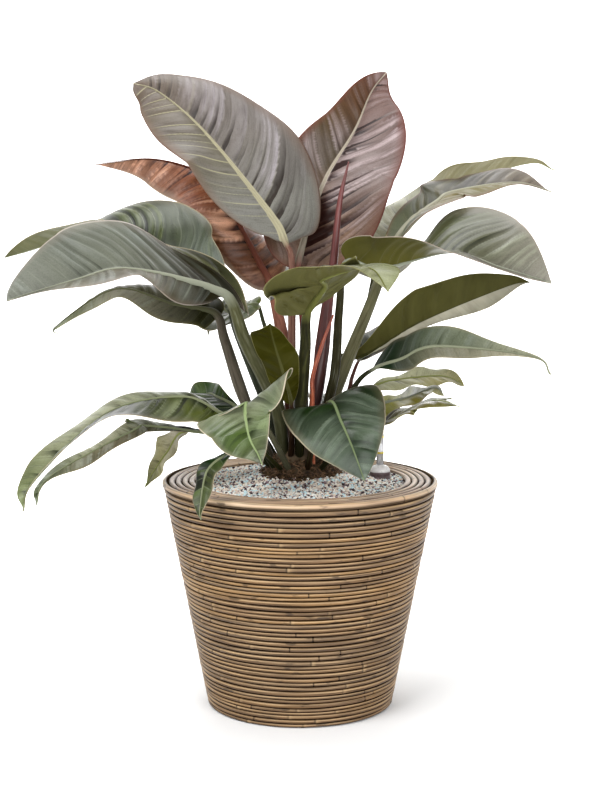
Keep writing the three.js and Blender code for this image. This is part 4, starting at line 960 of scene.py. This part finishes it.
        look=coloured(GREEN, "#373e18", "#070707", "#102f07", "#434d2c", "#3c4528", "#3c3c20",
            sheen="#697a48")),
    "leaf_rear_left_dark": dict(
        radii=[4, 3.6], foot=(OUTER, 141), stalk=[[-52, 38, 338]],
        rib=[[-79, 60, 361], [-106, 95, 370], [-122, 130, 369], [-151, 165, 346]],
        face=[-0.2, -0.5, 0.9],
        left=half(44, [17, 23, 0], -10, 0.36, 1.25, 2.67, 0.32),
        right=half(23, [30, 38, 38], 0, 0.9, 1.02, 1.29, 0.19),
        look=coloured(GREEN, "#213013", "#2b4909", "#19290f", "#2c3820", "#2f3a20", "#2c2c1c",
            sheen="#839461", shine=0.1, coat=0.03)),
    "leaf_front_young": dict(
        radii=[4, 3.6], foot=(MIDDLE, 238), stalk=[[-10, -36, 353]],
        rib=[[-11, -48, 386], [-19, -66, 419], [-30, -80, 458], [-35, -104, 484]],
        face=[0.1, 0.9, 0.4],
        left=half(22, [16, 13, -1], 0, 0.48, 0.85, 1.46, 0.21),
        right=half(28, [14, 27, -4], 1, 0.75, 0.98, 2.35, 0.21),
        look=coloured(OLIVE, "#33341a", "#30311a", "#2c2c16", "#3c3c20", "#363508", "#312016",
            rib="#4a4a28")),
    "leaf_rear_right": dict(
        radii=[3.5, 3.1], foot=(OUTER, 45), stalk=[[59, 60, 375], [66, 75, 398]],
        rib=[[78, 90, 422], [103, 115, 440], [137, 145, 441], [174, 180, 424]],
        face=[0.1, -0.3, 0.9],
        left=half(26, [20, 20, 0], -10, 0.4, 1.25, 2.4, 0.25),
        right=half(24, [20, 20, 0], -10, 0.4, 1.25, 2.4, 0.25),
        look=coloured(GREY_GREEN, "#2a2a1c", "#2a2a1c", "#2a2a1c", "#2a2a1c", "#2a2a1c", "#4a2a26")),
    "leaf_rear_upper": dict(
        radii=[4.5, 4], foot=(MIDDLE, 95), stalk=[[5, 45, 400], [8, 75, 470]],
        rib=[[10, 95, 500], [16, 135, 520], [13, 175, 520], [7, 220, 493]],
        face=[0, -0.2, 1],
        left=half(44, [20, 20, 0], -10, 0.4, 1.25, 2.4, 0.25),
        right=half(44, [20, 20, 0], -10, 0.4, 1.25, 2.4, 0.25),
        look=coloured(GREEN, "#3c4530", "#3c4530", "#3c4530", "#3c4530", "#3c4228", "#4a3028")),
    "leaf_rear_low": dict(
        radii=[4, 3.6], foot=(OUTER, 80), stalk=[[23, 75, 332]],
        rib=[[34, 110, 352], [45, 150, 360], [51, 190, 347], [55, 225, 313]],
        face=[0, -0.3, 0.9],
        left=half(36, [20, 20, 0], -10, 0.4, 1.25, 2.4, 0.25),
        right=half(36, [20, 20, 0], -10, 0.4, 1.25, 2.4, 0.25),
        look=coloured(GREEN, "#3c4530", "#3c4530", "#3c4530", "#3c4530", "#3c4228", "#3c3024")),
}


def foot_point(ring, degrees):
    """Where a stalk leaves the crown: a point of one of its three rings."""
    radius, height = ring
    return [radius * np.cos(np.radians(degrees)), radius * np.sin(np.radians(degrees)), height]


def smooth_curve(points):
    """Smooth curve through the points: between each two of them a cubic, whose direction at each point
    is half the step from the point before to the point after."""
    p = np.asarray(points, float)
    p = np.vstack([2 * p[0] - p[1], p, 2 * p[-1] - p[-2]])
    before, start, end, after = p[:-3, None], p[1:-2, None], p[2:-1, None], p[3:, None]
    u = (np.arange(CURVE_STEPS) / CURVE_STEPS)[:, None]
    leave, arrive = (end - before) / 2, (after - start) / 2
    curve = ((2 * start - 2 * end + leave + arrive) * u ** 3
             + (-3 * start + 3 * end - 2 * leave - arrive) * u ** 2 + leave * u + start)
    return np.vstack([curve.reshape(-1, 3), p[-2]])


def along_rib(rib, t):
    """Points of the midrib at the shares t of its length, and that length."""
    length = np.concatenate([[0], np.cumsum(np.linalg.norm(np.diff(rib, axis=0), axis=1))])
    reach = np.clip(t, 0, 1) * length[-1]
    return np.stack([np.interp(reach, length, rib[:, k]) for k in range(3)], -1), length[-1]


def rib_frame(leaf, rib, t):
    """Midrib point, direction, upper normal and right-hand side at t, and the midrib's length. The
    normal is the leaf's face, blended into its tip's face and made square to the midrib."""
    middle, length = along_rib(rib, t)
    ahead, back = along_rib(rib, t + 0.01)[0], along_rib(rib, t - 0.01)[0]
    along = (ahead - back) / np.linalg.norm(ahead - back, axis=-1, keepdims=True)
    face = np.array(leaf["face"], float)
    tip_face = np.array(leaf.get("tip_face", face), float)
    up = face + (tip_face - face) * t[:, None]
    up = up - (up * along).sum(-1, keepdims=True) * along
    up /= np.linalg.norm(up, axis=-1, keepdims=True)
    return middle, along, up, np.cross(along, up), length


def outline(t, widest, taper, base):
    """Half width as a share of the greatest: a rounded shoulder up to the widest place, then a cosine
    raised to the taper that narrows to the tip."""
    shoulder = (1 - (1 - np.clip(t / widest, 0, 1)) ** base) ** (1 / base)
    point = np.maximum(np.cos(np.pi / 2 * np.clip((t - widest) / (1 - widest), 0, 1)), 0) ** taper
    return np.where(t < widest, shoulder, point)


def blade_half(leaf, side, rib, t, share):
    """Middle surface of one half: from the midrib each row leaves at its lift angle and turns by the
    bend along an arc as long as the half is wide there; the edge waves, and the base is swept back."""
    middle, along, up, right, _ = rib_frame(leaf, rib, t)
    form = leaf["right" if side > 0 else "left"]
    spread = outline(t, form["widest"], form["taper"], form["base"])[:, None]
    t = t[:, None]
    reach = np.maximum(form["width"] * spread, END_WIDTH + (TIP_WIDTH - END_WIDTH) * t)
    start = np.radians(np.interp(t, [0, 0.5, 1], form["lift"]))
    turn = np.radians(form["bend"] or LEAST_BEND)
    phase = 2 * np.pi * (WAVES * t + (WAVE_SHIFT if side > 0 else 0))
    wave = EDGE_WAVE * share ** 2 * spread * np.sin(phase)
    out = reach * (np.sin(start + turn * share) - np.sin(start)) / turn
    rise = -reach * (np.cos(start + turn * share) - np.cos(start)) / turn + wave
    swept = form["lobe"] * form["width"] * share ** 2 * np.clip(1 - t / LOBE_END, 0, 1) ** 2
    return (middle[:, None] + side * out[..., None] * right[:, None] + rise[..., None] * up[:, None]
            - swept[..., None] * along[:, None]), reach


def vein_places(look, length, t, v, width, number):
    """Where each point lies among the side veins: a count that grows by one from each vein to the next.
    The veins leave the midrib and run out and forwards in a curve; two slow sines of the count itself
    bring some closer together."""
    vein = (t * length - look["lean"] * np.abs(width) - VEIN_CURVE * width ** 2) / VEIN_SPACING
    return vein + 0.3 * np.sin(1.3 * vein + number + (v < 0)) + 0.12 * np.sin(2.9 * vein + 2 * number)


def vein_marks(look, t, v, strong, far_off, pale):
    """Strengths of the painted shade in the fold, of the painted sheen and of the pale line at each point:
    the fold's shade fades outwards, soon at one vein and late at the next, the sheen fades at the midrib
    and the edge, and a line at the edge. Each half has its own amounts, and each vein its own three
    chances."""
    size = np.abs(v)
    fold, silver, line = (np.array(look[key])[(v > 0).astype(int)] for key in ("groove", "silver", "lines"))
    fold = fold * np.clip(1.7 * strong - 0.2, 0.1, 1.2) * (1.3 - 0.6 * t)
    fold = fold * np.clip(1.15 - size / (0.25 + 0.75 * far_off), 0, 1)
    silver = silver * np.clip(2 * pale - 0.6, 0.1, 1) * np.clip(0.3 + t / 0.4, 0, 1)
    silver = silver * np.clip(size / 0.25, 0, 1) * np.clip((1 - size) / 0.2, 0, 1)
    line = line * (0.3 + 0.7 * pale) * np.clip((1 - size) / 0.4, 0, 1)
    return np.stack([fold, silver, line], -1)


def blade_mesh(leaf, rib, rows, columns, number):
    """The blade as a closed skin round the middle surface. Between two side veins the tissue bulges up,
    steeply at one and gently to the next, no bulge as strong as its neighbour; it is level at both ends
    of the blade and thins to the edge. Returns points in rings and, per point, (t, v, face), (length,
    width, vein place) and the marks' strengths."""
    look = leaf["look"]
    length = along_rib(rib, np.zeros(1))[1]
    t = np.linspace(0, 1, rows) ** ROW_EASE
    share = np.linspace(0, 1, columns + 1) ** COLUMN_EASE
    left, left_reach = blade_half(leaf, -1, rib, t, share)
    right, right_reach = blade_half(leaf, 1, rib, t, share)
    middle = np.concatenate([left[:, :0:-1], right], 1)
    width = np.concatenate([-left_reach * share[:0:-1], right_reach * share], 1)
    normal = np.cross(np.gradient(middle, axis=1), np.gradient(middle, axis=0))
    normal /= np.maximum(np.linalg.norm(normal, axis=-1, keepdims=True), 1e-9)
    t, v = np.broadcast_arrays(t[:, None], np.concatenate([-share[:0:-1], share]))
    size = np.abs(v)
    vein = vein_places(look, length, t, v, width, number)
    vein_slot = np.clip(np.floor(vein).astype(int) + VEINS_BEHIND, 0, VEIN_SLOTS - 1)
    chance = np.random.default_rng(number).uniform(0, 1, (3, 2, VEIN_SLOTS))
    strong, far_off, pale = chance[:, (v > 0).astype(int), vein_slot]
    rest = vein - np.floor(vein)
    raised = np.sin(np.pi * rest ** BULGE_SKEW) * (BULGE_LEAST + strong)
    raised = raised * (1 - np.exp(-np.abs(width) / BESIDE_RIB))
    raised = PUCKER * raised * (1 - size ** 4) * np.clip((1 - t) / LEVEL_TIP, 0, 1)
    raised = raised * np.clip(t / LEVEL_BASE, 0, 1)
    thick = BLADE_THICKNESS + (EDGE_THICKNESS - BLADE_THICKNESS) * size ** 3
    upper = middle + normal * (thick / 2 + raised - PUCKER / 2)[..., None]
    lower = middle - normal * (thick / 2 - raised + PUCKER / 2)[..., None]
    place, run = np.stack([t, v, 0 * t], -1), np.stack([t * length, width, vein], -1)
    marks = vein_marks(look, t, v, strong, far_off, pale)
    fields = [np.concatenate([field, field[:, ::-1]], 1) for field in (place, run, marks)]
    fields[0][:, v.shape[1]:, 2] = 1
    return np.concatenate([upper, lower[:, ::-1]], 1), fields


def stalk_mesh(leaf, spine, first):
    """Stalk and midrib as one closed rod on the spine: it swells a little above the foot and narrows to
    the blade, and the midrib narrows further to the tip. The midrib's centre dips to a share of its
    radius under the upper face, so that it stands out more below. Returns rings and their fields."""
    stalk = spine[:first:2]
    share = np.linspace(0, 1, len(stalk), endpoint=False)
    rib = spine[first:]
    t = np.linspace(0, MIDRIB_END, MIDRIB_STEPS)
    middle, _, up, right, length = rib_frame(leaf, rib, t)
    foot, stout = leaf["radii"]
    rib_radius = stout * STALK_END * (1 - t) ** MIDRIB_TAPER * MIDRIB_START + MIDRIB_LEAST
    drop = (rib_radius * MIDRIB_SINK - BLADE_THICKNESS / 2) * np.clip(t / MIDRIB_DIP, 0, 1)
    path = np.concatenate([stalk, middle - up * drop[:, None]])
    stalk_radius = np.interp(share, [0, STALK_BULGE, 1], [foot, stout, stout * STALK_END])
    radii = np.concatenate([stalk_radius, rib_radius])
    side = np.concatenate([np.broadcast_to(right[:1], stalk.shape), right])
    rings = sweep(path, radii, side, STALK_CORNERS)
    angle = np.broadcast_to(np.linspace(0, 1, STALK_CORNERS, endpoint=False), rings.shape[:2])
    t_all = np.concatenate([share - 1, t])[:, None] + 0 * angle
    run = np.concatenate([(share - 1) * STALK_RUN, t * length])[:, None] + 0 * angle
    none = 0 * angle
    return rings, [np.stack([t_all, none, none + 2], -1),
                   np.stack([run, none, angle * STALK_STRIPES], -1), np.stack([none, none, none], -1)]


def leaf_finish(name, look, number):
    """Living leaf: a waxy cuticle over green and red tissue, glossy above and duller below. Each bulge
    between two side veins has painted shade in the fold that it rises from, which tapers outwards, and a
    painted sheen on its back. The edge is tinted, with a thin pale or brown margin, and the midrib is a
    pale band. The stalk darkens towards its foot with painted shade."""
    finish, add, wire = new_finish(name, {"IOR": 1.45, "Coat Roughness": 0.25, "Coat IOR": 1.4})
    place, run, marks = (add("Attribute", attribute_name=field, output="Vector")
                         for field in ("place", "run", "marks"))
    t, v, face = add("SeparateXYZ", (place,)).node.outputs
    _, width, vein = add("SeparateXYZ", (run,)).node.outputs
    fold, silver, line = add("SeparateXYZ", (marks,)).node.outputs
    far = add("Math", (v,), operation="ABSOLUTE")
    out = add("Math", (width,), operation="ABSOLUTE")
    spot = add("TexCoord", output="Object")
    # Streaks along the side veins: broad ones about 20 mm, fine ones about 3 mm from one to the next,
    # and on the stalk lengthwise ones of 3 mm; the shift gives each leaf its own. Patches are some
    # 70 mm across and cells 1.5 mm.
    shift = (number * LEAF_SHIFT, 0, 0)
    broad, fine, stripe = (
        add("TexNoise", {"Vector": add("Mapping", {"Vector": run, "Scale": scale, "Location": shift}),
                         "Scale": 1.0, "Detail": 3.0, "Roughness": 0.6})
        for scale in ((0, 0.02, 0.9), (0, 0.04, 5.0), (0.032, 0, 1.6)))
    patches = add("TexNoise", {"Vector": spot, "Scale": 14.0, "Detail": 2.0})
    cells = add("TexNoise", {"Vector": spot, "Scale": 700.0, "Detail": 2.0})

    # The bulge between two veins: the fold is at 0, the back of the bulge near 0.5, the next vein at 1.
    # Painted shade lies in the fold, and a painted sheen on the back.
    wavering = add("Math", (broad, 0.3, vein), operation="MULTIPLY_ADD")
    wavering = add("Math", (patches, 0.45, wavering), operation="MULTIPLY_ADD")
    rest = add("Math", (wavering,), operation="FRACT")
    fold_width = add("Math", (fold, 0.5, 0.08), operation="MULTIPLY_ADD")
    painted_fold_shade = add("MapRange", (add("Math", (rest, fold_width), operation="DIVIDE"), 1.0, 0.1))
    for share in (fold, add("MapRange", (broad, 0.3, 0.55, 0.5, 1.1))):
        painted_fold_shade = add("Math", (painted_fold_shade, share), operation="MULTIPLY")
    # Painted sheen: the back of each bulge and broad patches are lightened towards the sheen colour.
    back = add("MapRange", (rest, 0.15, 0.5))
    for share in (add("MapRange", (rest, 1.0, 0.6)), add("MapRange", (fine, 0.35, 0.6, 0.5, 1.1))):
        back = add("Math", (back, share), operation="MULTIPLY")
    back = add("Math", (back, add("MapRange", (patches, 0.42, 0.62, 0.0, 0.7))), operation="ADD")
    silvery = add("Math", (back, silver), operation="MULTIPLY", use_clamp=True)

    # A pale line lies on each side vein itself, and a band on the midrib narrows to the tip.
    beside = add("Math", (add("Math", (vein, 0.5), operation="ADD"),), operation="FRACT")
    beside = add("Math", (add("Math", (beside, 0.5), operation="SUBTRACT"),), operation="ABSOLUTE")
    vein_line = add("Math", (add("MapRange", (beside, 0.055, 0.015)), line), operation="MULTIPLY")
    slimming = add("Math", (1.0, t), operation="SUBTRACT", use_clamp=True)
    slimming = add("Math", (slimming, 1.3), operation="POWER")
    band = add("Math", (slimming, -look["band"], out), operation="MULTIPLY_ADD")

    # Colours of the upper face, the underside and the stalk: each a ground with coats laid over it.
    ageing = add("Math", (patches, 0.3, t), operation="MULTIPLY_ADD")
    edge = add("Math", (patches, 0.2, far), operation="MULTIPLY_ADD")
    side = add("MapRange", (v, -0.03, 0.03))
    surfaces = []
    for colour, *coats in (
            (look["left"],
             (side, look["right"], "MIX"),
             (add("MapRange", (ageing, 0.7, 1.15)), look["tip"], "MIX"),
             (add("MapRange", (ageing, 0.62, 0.28)), look["near"], "MIX"),
             (add("MapRange", (patches, 0.45, 0.75, 0.0, look["patch"])), look["dark"], "MULTIPLY"),
             (silvery, look["sheen"], "MIX"),
             (painted_fold_shade, look["dark"], "MULTIPLY"),
             (add("MapRange", (fine, 0.5, 0.25, 0.0, look["streak"])), look["dark"], "MULTIPLY"),
             (add("MapRange", (cells, 0.55, 0.3, 0.0, 0.22)), look["dark"], "MULTIPLY"),
             (vein_line, look["vein"], "MIX"),
             (add("MapRange", (edge, 0.9, 1.12, 0.0, look["edge"])), look["margin"], "MIX")),
            (look.get("under_left", look["under"]),
             (side, look["under"], "MIX"),
             (add("MapRange", (broad, 0.4, 0.7, 0.0, 0.3)), look["dark"], "MULTIPLY"),
             (add("Math", (vein_line, 0.8), operation="MULTIPLY"), look["rib"], "MIX")),
            (look["stalk"],
             (add("MapRange", (stripe, 0.45, 0.7, 0.0, 0.6)), look["dark"], "MULTIPLY"),
             (add("MapRange", (stripe, 0.45, 0.3, 0.0, 0.35)), look["rib"], "MIX"),
             # Painted shade: the stalk darkens towards its foot, down among the crowded stalks at the
             # crown.
             (add("MapRange", (t, -0.5, -0.95, 0.0, 0.6)), look["dark"], "MULTIPLY"),
             (add("MapRange", (t, -0.12, 0.03)), look["rib"], "MIX"))):
        for amount, coat, mode in coats:
            colour = add("Mix", {0: amount, 6: colour, 7: coat}, 2, data_type="RGBA", blend_type=mode)
        surfaces.append(colour)
    colour, lower, stalk = surfaces
    for amount, coat in (
            (add("MapRange", (face, 0.45, 0.55)), lower),
            (add("MapRange", (far, 0.968, 0.986, 0.0, 0.7)), look["margin"]),
            (add("MapRange", (band, 0.9, 0.1)), look["rib"]),
            (add("MapRange", (face, 1.45, 1.55)), stalk)):
        colour = add("Mix", {0: amount, 6: colour, 7: coat}, 2, data_type="RGBA")
    shine = add("MapRange", (ageing, 0.15, 0.5, look["shine"] * 0.3, look["shine"]))
    wire(
        Base_Color=colour,
        Roughness=add("MapRange", (broad, 0.3, 0.7, look["gloss"] + 0.12, look["gloss"] - 0.06)),
        Specular_IOR_Level=add("MapRange", (face, 0.45, 0.55, shine, 0.06)),
        Coat_Weight=add("MapRange", (face, 0.45, 0.55, look["coat"], 0.0)),
        Normal=add("Bump", {"Height": add("Math", (cells, 0.25, fine), operation="MULTIPLY_ADD"),
                            "Strength": 0.35, "Distance": 0.0009}))
    return finish


for number, (name, leaf) in enumerate(LEAVES.items()):
    look = leaf["look"]
    spine = smooth_curve([foot_point(*leaf["foot"]), *leaf["stalk"], *leaf["rib"]])
    first = CURVE_STEPS * (len(leaf["stalk"]) + 1)
    widest = max(leaf["left"]["width"], leaf["right"]["width"])
    rows, columns = WIDE_GRID if widest > WIDE_BLADE else NARROW_GRID
    rings, fields = blade_mesh(leaf, spine[first:], rows, columns, number)
    rod, rod_fields = stalk_mesh(leaf, spine, first)
    faces = np.concatenate([shell(rings), shell(rod) + rings.shape[0] * rings.shape[1]])
    points, place, run, marks = (np.concatenate([blade.reshape(-1, 3), stem.reshape(-1, 3)])
                                 for blade, stem in zip([rings, *fields], [rod, *rod_fields]))
    add_piece(name.replace("leaf_", "grown_"), points, faces.tolist(),
              leaf_finish("living_" + name, look, number), look["slot"], [name],
              place=place, run=run, marks=marks)

# Spear and sheath: the newest leaf, still rolled into a red spear on its red stalk, and beside it the
# thin dry orange bract that wrapped it. Both grow from the crown and are smooth and slightly waxy.
STEMS = {
    "rolled_spear": dict(
        solid="spear_leaf", slot="red_stalk", foot=(INNER, 330), radii=[6.5, 8.5, 9.5, 8, 6, 3.5, 0.8],
        path=[[20, -6, 380], [27, -4, 443], [32, 0, 492], [40, 4, 549], [48, 8, 620], [59, 12, 669]],
        ridges=1, depth=0.3, finish="rolled_young_leaf",
        colours=("#5a2c28", "#6a302e", "#2c1412", "#8c5650"), gloss=0.4),
    "dry_bract": dict(
        solid="dry_sheath", slot="dry_sheath", foot=(OUTER, 300), radii=[3.2, 3, 2.8, 2.4, 1.2],
        path=[[15, -36, 385], [15, -36, 412], [26, -34, 450], [40, -32, 487]],
        ridges=3, depth=0.25, finish="dry_papery_sheath",
        colours=("#b05a38", "#a04a34", "#6a2e20", "#d89a78"), gloss=0.5),
}
STEM_CORNERS = 32
RIDGE_TURN = 5


def stem_mesh(stem):
    """A rod on a smooth curve, its radius passing through the listed ones, with lengthwise ridges that
    turn slowly round it. Returns rings of points and, per point, (u, turn, wall): the share of the
    length, the share of the way round and the radius as a share of the greatest there."""
    path = smooth_curve([foot_point(*stem["foot"]), *stem["path"]])
    u = np.linspace(0, 1, len(path))[:, None]
    radii = np.interp(u, np.linspace(0, 1, len(stem["radii"])), stem["radii"])
    rings = sweep(path, np.ones(len(path)), np.array([[1.0, 0, 0]]) + 0 * path, STEM_CORNERS)
    angle = 2 * np.pi * np.arange(STEM_CORNERS) / STEM_CORNERS
    wall = 1 - stem["depth"] * (0.5 + 0.5 * np.cos(stem["ridges"] * angle + RIDGE_TURN * u)) ** 3
    rings = path[:, None] + (rings - path[:, None]) * (radii * wall)[..., None]
    return rings, np.stack([u + 0 * angle, angle / (2 * np.pi) + 0 * u, wall], -1)


def stem_finish(name, colours, gloss):
    """Waxy red tissue: its colour passes from low to high, with dark lengthwise streaks and pale streaks
    of painted sheen, and painted shade between the ridges."""
    low, high, dark, sheen = colours
    finish, add, wire = new_finish(name, {
        "Roughness": gloss, "IOR": 1.45, "Coat Weight": 0.3, "Coat Roughness": 0.2, "Coat IOR": 1.4})
    place = add("Attribute", attribute_name="place", output="Vector")
    u, _, wall = add("SeparateXYZ", (place,)).node.outputs
    stretched = add("Mapping", {"Vector": place, "Scale": (9, 9, 0)})
    streak = add("TexNoise", {"Vector": stretched, "Scale": 1.0, "Detail": 3.0})
    colour = low
    for amount, coat in (
            (u, high),
            (add("MapRange", (streak, 0.5, 0.3, 0.0, 0.6)), dark),
            # Painted sheen: pale lengthwise streaks.
            (add("MapRange", (streak, 0.55, 0.75, 0.0, 0.5)), sheen),
            # Painted shade between the ridges.
            (add("MapRange", (wall, 0.97, 0.85, 0.0, 0.6)), dark)):
        colour = add("Mix", {0: amount, 6: colour, 7: coat}, 2, data_type="RGBA")
    wire(Base_Color=colour, Normal=add("Bump", {"Height": streak, "Strength": 0.3, "Distance": 0.0008}))
    return finish


for name, stem in STEMS.items():
    rings, place = stem_mesh(stem)
    finish = stem_finish(stem["finish"], stem["colours"], stem["gloss"])
    add_piece(name, rings, shell(rings).tolist(), finish, stem["slot"], [stem["solid"]], place=place)
